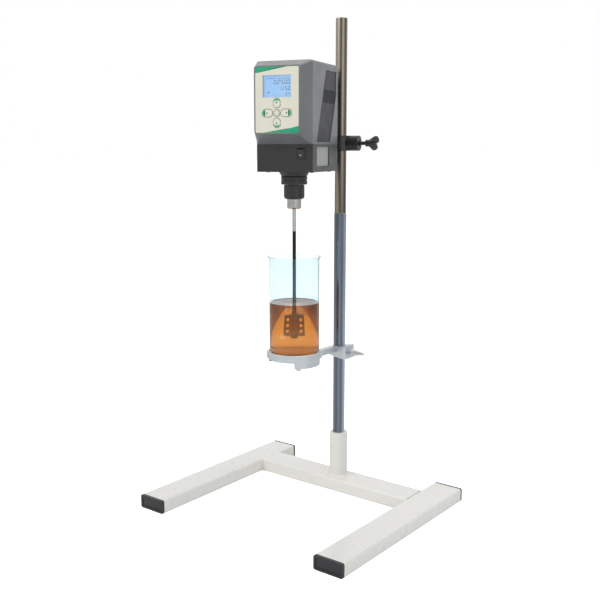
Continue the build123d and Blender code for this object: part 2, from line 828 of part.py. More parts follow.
def vent_outline():
    """Leaning panel whose upper rear corner follows the back of the cover."""
    Polygon(
        (-vent_front_at_bottom, vent_bottom),
        (vent_back_low, vent_bottom),
        (vent_back, vent_bend),
        (vent_back, vent_top),
        (-vent_front_at_bottom + (vent_top - vent_bottom) * vent_slope, vent_top),
        align=None,
    )


with BuildPart() as upper_cover:
    with BuildSketch(facing(-case_front)) as cover_section:
        with Locations((0, (seam_level + case_top) / 2)):
            Rectangle(case_width, upper_case_height)
        fillet(cover_section.vertices().group_by(Axis.Y)[-1], case_corner)
        with Locations((0, seam_level + (upper_case_height - case_wall) / 2)):
            Rectangle(2 * inner_half, upper_case_height - case_wall, mode=Mode.SUBTRACT)
    extrude(amount=-(case_front + case_back))
    for side in (-1, 1):
        with BuildSketch(flank(side * case_width / 2)):
            vent_outline()
        extrude(amount=-side * case_wall, mode=Mode.SUBTRACT)
upper_cover.part.label = "upper_cover"
export_step(upper_cover.part, "parts/upper_cover.step")

slot_lean = vent_slot_height * vent_slope
for name, side in (("left_vent_panel", -1), ("right_vent_panel", 1)):
    with BuildPart() as vent_panel:
        with BuildSketch(flank(side * inner_half)):
            vent_outline()
            offset(amount=-part_gap, kind=Kind.INTERSECTION)
        extrude(amount=side * (case_wall - vent_recess))
        with BuildSketch(flank(side * inner_half)):
            vent_outline()
            offset(amount=vent_flange, kind=Kind.INTERSECTION)
        extrude(amount=-side * vent_flange_thickness)
        with BuildSketch(flank(side * case_width / 2)):
            for place in range(vent_slot_count):
                with Locations((vent_slot_first + place * vent_slot_pitch, seam_level + vent_slot_level)):
                    Polygon(
                        (0, 0),
                        (vent_slot_width, 0),
                        (vent_slot_width + slot_lean, vent_slot_height),
                        (slot_lean, vent_slot_height),
                        align=None,
                    )
        extrude(amount=-side * (case_wall + vent_flange), mode=Mode.SUBTRACT)
    vent_panel.part.label = name
    export_step(vent_panel.part, f"parts/{name}.step")

# Front bezel: a sloping frame that carries the display and the keys
key_places = {
    "key_up": (0, key_reach_upright, key_short, key_upright_long),
    "key_down": (0, -key_reach_upright, key_short, key_upright_long),
    "key_left": (-key_reach, 0, key_long, key_short),
    "key_right": (key_reach, 0, key_long, key_short),
    "key_centre": (0, 0, centre_key_diameter, centre_key_diameter),
}
board_front = face_back - board_gap
board_half_width = face_width / 2 - case_wall - board_margin
board_half_height = face_height / 2 - case_wall - board_margin
post_x = board_half_width - board_post_diameter / 2
post_z = board_half_height - board_post_diameter / 2


def key_outline(width, height, grow, mode=Mode.ADD):
    """Front of one key, long or round, grown by a margin."""
    long_side = max(width, height) + 2 * grow
    short_side = min(width, height) + 2 * grow
    if width == height:
        Circle(long_side / 2, mode=mode)
    else:
        SlotOverall(long_side, short_side, 90 if height > width else 0, mode=mode)


def key_outlines(grow, mode=Mode.ADD):
    """All five keys, each grown by the same margin."""
    for x, z, width, height in key_places.values():
        with Locations((x, key_level + z)):
            key_outline(width, height, grow, mode)


with BuildPart() as front_bezel:
    with BuildSketch(facing(-case_front)):
        with Locations((0, (seam_level + case_top) / 2)):
            RectangleRounded(case_width, upper_case_height, case_corner)
    with BuildSketch(facing(-face_front)):
        with Locations((0, face_middle)):
            RectangleRounded(face_width, face_height, case_corner)
    loft()
    with BuildSketch(facing(-case_front)):
        with Locations((0, (seam_level + case_top) / 2)):
            RectangleRounded(2 * inner_half, upper_case_height - 2 * case_wall, case_corner - 1)
    with BuildSketch(facing(-face_back)):
        with Locations((0, face_middle)):
            RectangleRounded(face_width - 2 * case_wall, face_height - 2 * case_wall, case_corner - 1)
    loft(mode=Mode.SUBTRACT)
    with BuildSketch(facing(-case_front - bezel_lip)):
        with Locations((0, (seam_level + case_top) / 2)):
            lip_width = 2 * (inner_half - part_gap)
            lip_height = upper_case_height - 2 * (case_wall + part_gap)
            Rectangle(lip_width, lip_height)
            Rectangle(lip_width - 2 * bezel_lip_wall, lip_height - 2 * bezel_lip_wall, mode=Mode.SUBTRACT)
    extrude(amount=-2 * bezel_lip)
    with BuildSketch(facing(-face_front)):
        with Locations((0, face_middle)):
            pocket_width = face_width - 2 * fascia_border
            pocket_height = face_height - 2 * fascia_border
            RectangleRounded(pocket_width, pocket_height, case_corner - fascia_border)
    extrude(amount=-fascia_thickness, mode=Mode.SUBTRACT)
    with BuildSketch(facing(-face_front)):
        with Locations((0, window_level)):
            Rectangle(window_width, window_height)
        key_outlines(key_clearance)
    extrude(amount=-bezel_front_wall, mode=Mode.SUBTRACT)
    with BuildSketch(facing(-face_back)):
        with Locations((0, face_middle)):
            with GridLocations(2 * post_x, 2 * post_z, 2, 2):
                Circle(board_post_diameter / 2)
    extrude(amount=-board_gap)
front_bezel.part.label = "front_bezel"
export_step(front_bezel.part, "parts/front_bezel.step")

with BuildPart() as keypad_panel:
    with BuildSketch(facing(-face_front)):
        with Locations((0, face_middle)):
            plate_width = face_width - 2 * (fascia_border + part_gap)
            plate_height = face_height - 2 * (fascia_border + part_gap)
            RectangleRounded(plate_width, plate_height, case_corner - fascia_border)
        with Locations((0, window_level)):
            Rectangle(window_width, window_height, mode=Mode.SUBTRACT)
        key_outlines(key_clearance, Mode.SUBTRACT)
    extrude(amount=-fascia_thickness)
keypad_panel.part.label = "keypad_panel"
export_step(keypad_panel.part, "parts/keypad_panel.step")

with BuildPart() as display_window:
    with BuildSketch(facing(-face_front)):
        with Locations((0, window_level)):
            Rectangle(window_width - 2 * part_gap, window_height - 2 * part_gap)
    extrude(amount=-bezel_front_wall)
display_window.part.label = "display_window"
export_step(display_window.part, "parts/display_window.step")

with BuildPart() as display_module:
    with BuildSketch(facing(-face_back)):
        with Locations((0, window_level + display_margin / 2)):
            Rectangle(window_width + 2 * display_margin, window_height + display_margin)
    extrude(amount=-(board_gap - part_gap))
display_module.part.label = "display_module"
export_step(display_module.part, "parts/display_module.step")

key_bottom = face_back - part_gap - key_flange_thickness
switch_reach = key_bottom - key_travel - part_gap - board_front
with BuildPart() as control_board:
    with BuildSketch(facing(-board_front)):
        with Locations((0, face_middle)):
            Rectangle(2 * board_half_width, 2 * board_half_height)
    extrude(amount=-board_thickness)
    with BuildSketch(facing(-board_front)):
        for x, z, width, height in key_places.values():
            with Locations((x, key_level + z)):
                Circle(key_switch_diameter / 2)
    extrude(amount=switch_reach)
control_board.part.label = "control_board"
export_step(control_board.part, "parts/control_board.step")

for name, (x, z, width, height) in key_places.items():
    with BuildPart() as key:
        with BuildSketch(facing(part_gap - face_back)):
            with Locations((x, key_level + z)):
                key_outline(width, height, 0)
        extrude(amount=bezel_front_wall + part_gap + key_proud)
        chamfer(key.faces().sort_by(Axis.Y)[0].edges(), key_proud / 2)
        with BuildSketch(facing(part_gap - face_back)):
            with Locations((x, key_level + z)):
                key_outline(width, height, key_flange)
        extrude(amount=-key_flange_thickness)
    key.part.label = name
    export_step(key.part, f"parts/{name}.step")

# Lower case: floor, front wall and thin sides, with the neck of the spindle under it
seat_radius = lower_bearing_diameter / 2 + sliding_fit
seat_top = neck_bottom + part_gap + lower_bearing_height
plate_bottom = seam_level - motor_plate_below_seam
post_half_span = inner_half - post_to_wall - post_diameter / 2
side_wall_outside = case_width / 2 - side_frame_thickness
case_depth = case_front + case_back
case_middle = (case_back - case_front) / 2
switch_level = seam_level - switch_below_seam
switch_right = case_width / 2 - switch_from_side
switch_body_width = switch_width + 2 * switch_body_wall
switch_body_height = switch_height + 2 * switch_body_wall
side_window_middle = side_window_length / 2 - side_window_front
side_window_level = seam_level - side_window_below_seam - side_window_height / 2

with BuildPart() as lower_case:
    with BuildSketch(level(case_bottom)):
        with Locations((0, case_middle)):
            Rectangle(2 * side_wall_outside, case_depth)
        with Locations((0, -case_front + case_wall / 2)):
            Rectangle(case_width, case_wall)
    extrude(amount=lower_case_height)
    with BuildSketch(level(floor_top)):
        with Locations((0, case_middle + case_wall / 2)):
            Rectangle(2 * inner_half, case_depth - case_wall)
    extrude(amount=lower_case_height, mode=Mode.SUBTRACT)
    with BuildSketch(facing(0)):
        with BuildLine():
            Polyline(
                (0, case_bottom),
                (neck_top_diameter / 2, case_bottom),
                (neck_bottom_diameter / 2, neck_bottom),
                (0, neck_bottom),
                close=True,
            )
        make_face()
    revolve(axis=chuck_line)
    with BuildSketch(level(neck_bottom)):
        Circle(seat_radius)
    extrude(amount=seat_top - neck_bottom, mode=Mode.SUBTRACT)
    with BuildSketch(level(neck_bottom)):
        Circle(spindle_shoulder_diameter / 2 + running_gap)
    extrude(amount=floor_top - neck_bottom, mode=Mode.SUBTRACT)
    with BuildSketch(level(floor_top)):
        with Locations((0, (post_back - post_front) / 2)):
            with GridLocations(2 * post_half_span, post_front + post_back, 2, 2):
                Circle(post_diameter / 2)
    extrude(amount=plate_bottom - floor_top)
    with BuildSketch(facing(-case_front)):
        with Locations((switch_right, switch_level)):
            Rectangle(switch_body_width + 2 * part_gap, switch_body_height + 2 * part_gap)
    extrude(amount=-case_wall, mode=Mode.SUBTRACT)
lower_case.part.label = "lower_case"
export_step(lower_case.part, "parts/lower_case.step")

for name, side in (("left_side_frame", -1), ("right_side_frame", 1)):
    with BuildPart() as side_frame:
        with BuildSketch(flank(side * side_wall_outside)):
            with Locations(((case_back + case_wall - case_front) / 2, (seam_level + case_bottom) / 2)):
                Rectangle(case_depth - case_wall, lower_case_height)
            with Locations((side_window_middle, side_window_level)):
                RectangleRounded(side_window_length, side_window_height, 2, mode=Mode.SUBTRACT)
        extrude(amount=side * side_frame_thickness)
    side_frame.part.label = name
    export_step(side_frame.part, f"parts/{name}.step")

# Ring that closes the neck under the lower bearing, with a groove between its two bands
with BuildPart() as bearing_cap:
    with BuildSketch(facing(0)):
        ring_radius = cap_ring_diameter / 2
        ring_middle = (neck_bottom + cap_ring_bottom) / 2
        with BuildLine():
            Polyline(
                (cap_ring_bore / 2, cap_ring_bottom),
                (ring_radius - 1, cap_ring_bottom),
                (ring_radius, cap_ring_bottom + 1),
                (ring_radius, ring_middle - cap_ring_groove / 2),
                (ring_radius - 1, ring_middle - cap_ring_groove / 2),
                (ring_radius - 1, ring_middle + cap_ring_groove / 2),
                (ring_radius, ring_middle + cap_ring_groove / 2),
                (ring_radius, neck_bottom - 1),
                (ring_radius - 1, neck_bottom),
                (cap_ring_bore / 2, neck_bottom),
                close=True,
            )
        make_face()
    revolve(axis=chuck_line)
bearing_cap.part.label = "bearing_cap"
export_step(bearing_cap.part, "parts/bearing_cap.step")

with BuildPart() as lower_bearing:
    with BuildSketch(level(neck_bottom + part_gap)):
        Circle(lower_bearing_diameter / 2)
        Circle(spindle_radius + sliding_fit, mode=Mode.SUBTRACT)
    extrude(amount=lower_bearing_height)
lower_bearing.part.label = "lower_bearing"
export_step(lower_bearing.part, "parts/lower_bearing.step")

# Motor plate on the four posts, with the upper bearing and the motor
gear_centres = gear_module * (output_teeth + pinion_teeth) / 2
plate_top = plate_bottom + motor_plate_thickness
plate_front = -(post_front + post_diameter / 2 + 1)
plate_back = panel_inside - arm_boss_depth - arm_boss_to_plate
with BuildPart() as motor_plate:
    with BuildSketch(level(plate_bottom)):
        with Locations((0, (plate_front + plate_back) / 2)):
            Rectangle(2 * (inner_half - motor_plate_margin), plate_back - plate_front)
        Circle(upper_bearing_diameter / 2 + sliding_fit, mode=Mode.SUBTRACT)
        with Locations((0, gear_centres)):
            Circle(motor_boss_diameter / 2 + part_gap, mode=Mode.SUBTRACT)
    extrude(amount=motor_plate_thickness)
motor_plate.part.label = "motor_plate"
export_step(motor_plate.part, "parts/motor_plate.step")

with BuildPart() as upper_bearing:
    with BuildSketch(level(plate_bottom)):
        Circle(upper_bearing_diameter / 2)
        Circle(spindle_radius + sliding_fit, mode=Mode.SUBTRACT)
    extrude(amount=motor_plate_thickness)
upper_bearing.part.label = "upper_bearing"
export_step(upper_bearing.part, "parts/upper_bearing.step")

motor_shaft_radius = motor_shaft_diameter / 2
motor_top = case_top - case_wall - motor_below_top
motor_height = motor_top - plate_top
armature_height = motor_height - 2 * (motor_wall + armature_gap)
with BuildPart() as motor_can:
    with BuildSketch(level(plate_top, 0, gear_centres)):
        Circle(motor_diameter / 2)
    extrude(amount=motor_height)
    with BuildSketch(level(plate_bottom, 0, gear_centres)):
        Circle(motor_boss_diameter / 2)
    extrude(amount=motor_plate_thickness)
    with BuildSketch(level(plate_top + motor_wall, 0, gear_centres)):
        Circle(motor_diameter / 2 - motor_wall)
    extrude(amount=motor_height - 2 * motor_wall, mode=Mode.SUBTRACT)
    with BuildSketch(level(plate_bottom, 0, gear_centres)):
        Circle(motor_shaft_radius + sliding_fit)
    extrude(amount=motor_plate_thickness + motor_wall, mode=Mode.SUBTRACT)
motor_can.part.label = "motor_can"
export_step(motor_can.part, "parts/motor_can.step")

gear_bottom = floor_top + gear_above_floor
gear_top = gear_bottom + gear_thickness
armature_bottom = (plate_top + motor_top - armature_height) / 2
with BuildPart() as rotor:
    with BuildSketch(level(gear_bottom - 1, 0, gear_centres)):
        Circle(motor_shaft_radius)
    extrude(amount=motor_top - motor_wall - part_gap - gear_bottom + 1)
    with BuildSketch(level(armature_bottom, 0, gear_centres)):
        Circle(armature_diameter / 2)
    extrude(amount=armature_height)
rotor.part.label = "rotor"
export_step(rotor.part, "parts/rotor.step")


# Spur gears
def tooth_half_angle(teeth, radius):
    """Half the angle that an involute tooth takes up at a radius."""
    pressure = radians(gear_pressure_angle)
    pitch_radius = gear_module * teeth / 2
    slant = acos(min(1, pitch_radius * cos(pressure) / radius))
    at_pitch = pi / (2 * teeth) - gear_backlash / (4 * pitch_radius)
    return at_pitch + (tan(pressure) - pressure) - (tan(slant) - slant)


def gear_outline(teeth, bore, phase):
    """Toothed disc with a bore; the first tooth points along the phase angle."""
    pitch_radius = gear_module * teeth / 2
    root_radius = pitch_radius - gear_dedendum * gear_module
    tip_radius = pitch_radius + gear_addendum * gear_module
    steps = (root_radius - gear_module / 4, (root_radius + pitch_radius) / 2, pitch_radius, tip_radius)
    flank_points = []
    for radius in steps:
        half = tooth_half_angle(teeth, radius)
        flank_points.append((radius * cos(half), radius * sin(half)))
    other_flank = [(x, -y) for x, y in reversed(flank_points)]
    Circle(root_radius)
    with PolarLocations(0, teeth, phase):
        Polygon(*flank_points, *other_flank, align=None)
    Circle(bore / 2 + part_gap / 2, mode=Mode.SUBTRACT)


with BuildPart() as output_gear:
    with BuildSketch(level(gear_bottom)):
        gear_outline(output_teeth, spindle_diameter, 90)
    extrude(amount=gear_thickness)
    with BuildSketch(level(gear_top)):
        Circle(gear_hub_diameter / 2)
        Circle(spindle_radius + part_gap / 2, mode=Mode.SUBTRACT)
    extrude(amount=plate_bottom - running_gap - gear_top)
output_gear.part.label = "output_gear"
export_step(output_gear.part, "parts/output_gear.step")

with BuildPart() as pinion:
    with BuildSketch(level(gear_bottom, 0, gear_centres)):
        gear_outline(pinion_teeth, motor_shaft_diameter, -90 + 180 / pinion_teeth)
    extrude(amount=gear_thickness)
    with BuildSketch(level(gear_top, 0, gear_centres)):
        Circle(motor_shaft_diameter)
        Circle(motor_shaft_radius + part_gap / 2, mode=Mode.SUBTRACT)
    extrude(amount=pinion_hub_height)
pinion.part.label = "pinion"
export_step(pinion.part, "parts/pinion.step")

# Spindle, with the shoulder between the lower bearing and the gear
spindle_bottom = chuck_top - spindle_in_chuck
shoulder_bottom = seat_top + running_gap
with BuildPart() as spindle:
    with BuildSketch(level(spindle_bottom)):
        Circle(spindle_radius)
    extrude(amount=plate_top - running_gap - spindle_bottom)
    with BuildSketch(level(shoulder_bottom)):
        Circle(spindle_shoulder_diameter / 2)
    extrude(amount=gear_bottom - shoulder_bottom)
    chamfer(spindle.edges().group_by(Axis.Z)[0], 0.8)
spindle.part.label = "spindle"
export_step(spindle.part, "parts/spindle.step")

# Chuck: body, turning sleeve and three jaws that slide in sloping bores
nose_radius = nose_diameter / 2
sleeve_radius = sleeve_diameter / 2
chuck_body_radius = sleeve_radius - sleeve_wall - sliding_fit
jaw_angles = (90, 210, 330)


def jaw_plane(turn, along=0.0):
    """Plane across a jaw bore: its normal runs up and outward along the jaw, local x points outward."""
    outward = right * cos(radians(turn)) + back * sin(radians(turn))
    slide = outward * sin(radians(jaw_tilt)) + up * cos(radians(jaw_tilt))
    origin = head_point(0, 0, nose_tip) + outward * jaw_centre_at_tip + slide * along
    return Plane(origin=origin, x_dir=outward * cos(radians(jaw_tilt)) - up * sin(radians(jaw_tilt)), z_dir=slide)


with BuildPart() as chuck_body:
    with BuildSketch(facing(0)):
        with BuildLine():
            Polyline(
                (chuck_bore / 2, nose_tip),
                (nose_radius - nose_chamfer, nose_tip),
                (nose_radius, nose_tip + nose_chamfer),
                (nose_radius, sleeve_bottom + sleeve_lip + running_gap),
                (chuck_body_radius, sleeve_bottom + sleeve_lip + running_gap),
                (chuck_body_radius, chuck_top),
                (spindle_radius + part_gap / 2, chuck_top),
                (spindle_radius + part_gap / 2, spindle_bottom - part_gap),
                (chuck_bore / 2, spindle_bottom - part_gap),
                close=True,
            )
        make_face()
    revolve(axis=chuck_line)
    for turn in jaw_angles:
        with BuildSketch(jaw_plane(turn, -jaw_diameter)):
            Circle(jaw_diameter / 2 + sliding_fit)
        extrude(amount=jaw_diameter + jaw_length + jaw_travel + running_gap, mode=Mode.SUBTRACT)
chuck_body.part.label = "chuck_body"
export_step(chuck_body.part, "parts/chuck_body.step")

with BuildPart() as chuck_sleeve:
    with BuildSketch(facing(0)):
        sleeve_inside = sleeve_radius - sleeve_wall
        with BuildLine():
            Polyline(
                (nose_radius + sliding_fit, sleeve_bottom),
                (sleeve_radius - sleeve_round, sleeve_bottom),
                (sleeve_radius - sleeve_round / 3, sleeve_bottom + sleeve_round / 3),
                (sleeve_radius, sleeve_bottom + sleeve_round),
                (sleeve_radius, chuck_top - 1),
                (sleeve_radius - 1, chuck_top),
                (sleeve_inside, chuck_top),
                (sleeve_inside, sleeve_bottom + sleeve_lip),
                (nose_radius + sliding_fit, sleeve_bottom + sleeve_lip),
                close=True,
            )
        make_face()
    revolve(axis=chuck_line)
chuck_sleeve.part.label = "chuck_sleeve"
export_step(chuck_sleeve.part, "parts/chuck_sleeve.step")

for place, turn in enumerate(jaw_angles):
    with BuildPart() as chuck_jaw:
        with BuildSketch(jaw_plane(turn, -jaw_diameter)):
            Circle(jaw_diameter / 2)
        extrude(amount=jaw_diameter + jaw_length)
        with BuildSketch(level(nose_tip)):
            Circle(nose_radius)
        extrude(amount=-nose_radius, mode=Mode.SUBTRACT)
        with BuildSketch(level(nose_tip)):
            with PolarLocations(0, 1, turn):
                with Locations((shaft_radius + grip_gap - nose_radius, 0)):
                    Rectangle(2 * nose_radius, 2 * nose_radius)
        extrude(amount=jaw_length + jaw_diameter, mode=Mode.SUBTRACT)
    chuck_jaw.part.label = f"chuck_jaw_{place + 1}"
    export_step(chuck_jaw.part, f"parts/chuck_jaw_{place + 1}.step")

# Stirring shaft and paddle
shaft_top = nose_tip + shaft_in_chuck
shaft_bottom = paddle_bottom - hub_overhang / 2
with BuildPart() as stirring_shaft:
    with BuildSketch(level(shaft_bottom)):
        Circle(shaft_radius)
    extrude(amount=shaft_top - shaft_bottom)
    chamfer(stirring_shaft.edges().filter_by(GeomType.CIRCLE), 0.5)
stirring_shaft.part.label = "stirring_shaft"
export_step(stirring_shaft.part, "parts/stirring_shaft.step")

paddle_middle = paddle_bottom + paddle_height / 2
blade = Plane(
    origin=(0, -axis_reach, paddle_middle),
    x_dir=(cos(radians(paddle_turn)), sin(radians(paddle_turn)), 0),
    z_dir=(sin(radians(paddle_turn)), -cos(radians(paddle_turn)), 0),
)
with BuildPart() as paddle:
    with BuildSketch(blade):
        RectangleRounded(paddle_width, paddle_height, 1)
        with GridLocations(paddle_hole_columns, paddle_hole_rows, 2, 3):
            Circle(paddle_hole_diameter / 2, mode=Mode.SUBTRACT)
    extrude(amount=paddle_thickness / 2, both=True)
    with BuildSketch(level(paddle_bottom - hub_overhang)):
        Circle(hub_diameter / 2)
    extrude(amount=paddle_height + 2 * hub_overhang)
    with BuildSketch(level(paddle_bottom - hub_overhang)):
        Circle(shaft_radius + part_gap / 2)
    extrude(amount=paddle_height + 2 * hub_overhang, mode=Mode.SUBTRACT)
paddle.part.label = "paddle"
export_step(paddle.part, "parts/paddle.step")

# Power switch in the front of the lower case: a frame and a rocker on two short pins
pivot_y = switch_pivot_depth - case_front
with BuildPart() as rocker_frame:
    with BuildSketch(facing(-case_front)):
        with Locations((switch_right, switch_level)):
            RectangleRounded(switch_width + 2 * switch_rim, switch_height + 2 * switch_rim, 1)
    extrude(amount=switch_proud)
    with BuildSketch(facing(-case_front)):
        with Locations((switch_right, switch_level)):
            Rectangle(switch_body_width, switch_body_height)
    extrude(amount=-switch_body_depth)
    with BuildSketch(facing(-case_front - switch_proud)):
        with Locations((switch_right, switch_level)):
            Rectangle(switch_width, switch_height)
    extrude(amount=-(switch_proud + switch_body_depth - switch_back_wall), mode=Mode.SUBTRACT)
    with BuildSketch(flank(switch_right - switch_width / 2 - rocker_pin_length)):
        with Locations((pivot_y, switch_level)):
            Circle(rocker_pin_diameter / 2 + sliding_fit)
    extrude(amount=switch_width + 2 * rocker_pin_length, mode=Mode.SUBTRACT)
rocker_frame.part.label = "rocker_frame"
export_step(rocker_frame.part, "parts/rocker_frame.step")

rocker_half_width = switch_width / 2 - rocker_gap
tilt_back = back * cos(radians(rocker_tilt)) + up * sin(radians(rocker_tilt))
rocker_origin = head_point(switch_right - rocker_half_width, pivot_y, switch_level)
with BuildPart() as rocker:
    with BuildSketch(Plane(origin=rocker_origin, x_dir=tilt_back, z_dir=right)):
        with BuildLine():
            Polyline(
                (-rocker_dip, 0),
                (-rocker_front, rocker_half_height),
                (-rocker_edge, rocker_half_height),
                (rocker_foot, rocker_half_height / 2),
                (rocker_foot, -rocker_half_height / 2),
                (-rocker_edge, -rocker_half_height),
                (-rocker_front, -rocker_half_height),
                close=True,
            )
        make_face()
    extrude(amount=2 * rocker_half_width)
    with BuildSketch(flank(switch_right - switch_width / 2 - rocker_pin_length + part_gap)):
        with Locations((pivot_y, switch_level)):
            Circle(rocker_pin_diameter / 2)
    extrude(amount=switch_width + 2 * (rocker_pin_length - part_gap))
rocker.part.label = "rocker"
export_step(rocker.part, "parts/rocker.step")
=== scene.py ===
import json
import math

import bmesh
import bpy
from mathutils import Matrix, Vector


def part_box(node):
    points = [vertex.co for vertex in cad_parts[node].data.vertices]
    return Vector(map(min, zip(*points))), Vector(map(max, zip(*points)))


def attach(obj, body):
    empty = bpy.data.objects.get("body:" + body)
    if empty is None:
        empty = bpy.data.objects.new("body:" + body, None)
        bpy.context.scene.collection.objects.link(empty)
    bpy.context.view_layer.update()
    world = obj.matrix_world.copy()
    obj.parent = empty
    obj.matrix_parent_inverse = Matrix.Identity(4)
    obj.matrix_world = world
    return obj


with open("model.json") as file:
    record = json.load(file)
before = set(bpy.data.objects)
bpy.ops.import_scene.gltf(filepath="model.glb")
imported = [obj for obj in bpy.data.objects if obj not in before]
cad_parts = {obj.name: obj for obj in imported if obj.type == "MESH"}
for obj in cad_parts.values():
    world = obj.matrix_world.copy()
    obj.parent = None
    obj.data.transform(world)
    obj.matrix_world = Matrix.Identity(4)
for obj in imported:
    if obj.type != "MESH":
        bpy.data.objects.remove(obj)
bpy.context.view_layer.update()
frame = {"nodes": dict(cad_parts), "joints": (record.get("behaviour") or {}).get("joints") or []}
joints = {j["name"]: j for j in frame["joints"]}

# Frame of the head: x to its right, y to its back, z up, from the axis of the chuck, in millimetres
UP = Vector((0, 0, 1))
BACK = Vector(joints["head_reach"]["axis"]).normalized()
RIGHT = BACK.cross(UP).normalized()
CHUCK = Vector(joints["spindle_turn"]["pos_m"][:2] + [0])


def head(x, y, z):
    """Point of the head's frame, in metres in the shared frame."""
    return CHUCK + (RIGHT * x + BACK * y + UP * z) / 1000


# Materials
def links(mat):
    """Nodes and wires of a material."""
    return mat.node_tree.nodes, mat.node_tree.links


def base_material(name, color, rough, metallic=0.0, coat=0.0, coat_rough=0.1, ior=1.5, transmission=0.0):
    """Plain shader with its constants set on its own sockets."""
    mat = bpy.data.materials.new(name)
    mat.use_nodes = True
    shader = mat.node_tree.nodes["Principled BSDF"]
    shader.inputs["Base Color"].default_value = (*color, 1)
    shader.inputs["Roughness"].default_value = rough
    shader.inputs["Metallic"].default_value = metallic
    shader.inputs["Coat Weight"].default_value = coat
    shader.inputs["Coat Roughness"].default_value = coat_rough
    shader.inputs["IOR"].default_value = ior
    shader.inputs["Transmission Weight"].default_value = transmission
    return mat


def noise(mat, scale, detail=4.0, stretch=(1, 1, 1)):
    """Noise in the coordinates of the object."""
    nodes, wires = links(mat)
    place = nodes.new("ShaderNodeTexCoord")
    mapping = nodes.new("ShaderNodeMapping")
    mapping.inputs["Scale"].default_value = stretch
    texture = nodes.new("ShaderNodeTexNoise")
    texture.inputs["Scale"].default_value = scale
    texture.inputs["Detail"].default_value = detail
    wires.new(place.outputs["Object"], mapping.inputs["Vector"])
    wires.new(mapping.outputs["Vector"], texture.inputs["Vector"])
    return texture.outputs["Fac"]


def vary_color(mat, fac, dark, light, low=0.35, high=0.65):
    """Colour that goes from dark to light with a texture."""
    nodes, wires = links(mat)
    ramp = nodes.new("ShaderNodeValToRGB")
    ramp.color_ramp.elements[0].position = low
    ramp.color_ramp.elements[0].color = (*dark, 1)
    ramp.color_ramp.elements[1].position = high
    ramp.color_ramp.elements[1].color = (*light, 1)
    wires.new(fac, ramp.inputs["Fac"])
    wires.new(ramp.outputs["Color"], nodes["Principled BSDF"].inputs["Base Color"])


def vary_rough(mat, fac, low, high):
    """Roughness that goes from low to high with a texture."""
    nodes, wires = links(mat)
    spread = nodes.new("ShaderNodeMapRange")
    spread.inputs["From Min"].default_value = 0.3
    spread.inputs["From Max"].default_value = 0.7
    spread.inputs["To Min"].default_value = low
    spread.inputs["To Max"].default_value = high
    wires.new(fac, spread.inputs["Value"])
    wires.new(spread.outputs["Result"], nodes["Principled BSDF"].inputs["Roughness"])


def bump(mat, fac, strength, distance):
    """Fine relief from a texture."""
    nodes, wires = links(mat)
    node = nodes.new("ShaderNodeBump")
    node.inputs["Strength"].default_value = strength
    node.inputs["Distance"].default_value = distance
    wires.new(fac, node.inputs["Height"])
    wires.new(node.outputs["Normal"], nodes["Principled BSDF"].inputs["Normal"])


def shade(color, factor):
    """Lighter or darker form of a colour."""
    return tuple(min(1, c * factor) for c in color)


def plastic(name, color, rough=0.45, grain=900, depth=0.00006, coat=0.0, spread=0.08):
    """Moulded plastic: fine spark-eroded grain and a slow change of tone."""
    mat = base_material(name, color, rough, coat=coat)
    vary_color(mat, noise(mat, 14, 3), shade(color, 1 - spread), shade(color, 1 + spread))
    vary_rough(mat, noise(mat, 60, 4), rough - 0.07, rough + 0.07)
    bump(mat, noise(mat, grain, 2), 0.35, depth)
    return mat


def enamel(name, color, rough=0.3, coat=0.35, depth=0.00012):
    """Sprayed enamel: orange peel under a thin gloss."""
    mat = base_material(name, color, rough, coat=coat, coat_rough=0.15)
    vary_color(mat, noise(mat, 9, 5), shade(color, 0.985), shade(color, 1.01))
    vary_rough(mat, noise(mat, 40, 3), rough - 0.06, rough + 0.1)
    bump(mat, noise(mat, 420, 2), 0.2, depth)
    return mat


def metal(name, color, rough, stretch=(1, 1, 1), scale=60, contrast=0.12, depth=0.00003):
    """Turned, ground or plated metal; the stretch sets which way its marks run."""
    mat = base_material(name, color, rough, metallic=1.0)
    marks = noise(mat, scale, 5, stretch)
    vary_color(mat, marks, shade(color, 1 - contrast), shade(color, 1 + contrast))
    vary_rough(mat, noise(mat, scale * 0.6, 4, stretch), max(0.03, rough - 0.06), rough + 0.08)
    bump(mat, marks, 0.25, depth)
    return mat


def painted_reflection_bands(mat, color, levels):
    """Painted reflections: dark and bright streaks up a round bar on the Z axis, evenly spaced round it,
    that waver along it.
    """
    nodes, wires = links(mat)
    along = noise(mat, 12, 3)
    place = nodes.new("ShaderNodeTexCoord")
    around = nodes.new("ShaderNodeTexGradient")
    around.gradient_type = "RADIAL"
    wires.new(place.outputs["Object"], around.inputs["Vector"])
    shift = nodes.new("ShaderNodeMath")
    shift.operation = "MULTIPLY_ADD"
    shift.inputs[1].default_value = 0.035
    wires.new(along, shift.inputs[0])
    wires.new(around.outputs["Fac"], shift.inputs[2])
    ramp = nodes.new("ShaderNodeValToRGB")
    wires.new(shift.outputs[0], ramp.inputs["Fac"])
    for place_in_ramp, level in enumerate(levels):
        stop = ramp.color_ramp.elements.new(place_in_ramp / (len(levels) - 1))
        stop.color = (*shade(color, level), 1)
    ramp.color_ramp.elements.remove(ramp.color_ramp.elements[0])
    wires.new(ramp.outputs["Color"], nodes["Principled BSDF"].inputs["Base Color"])


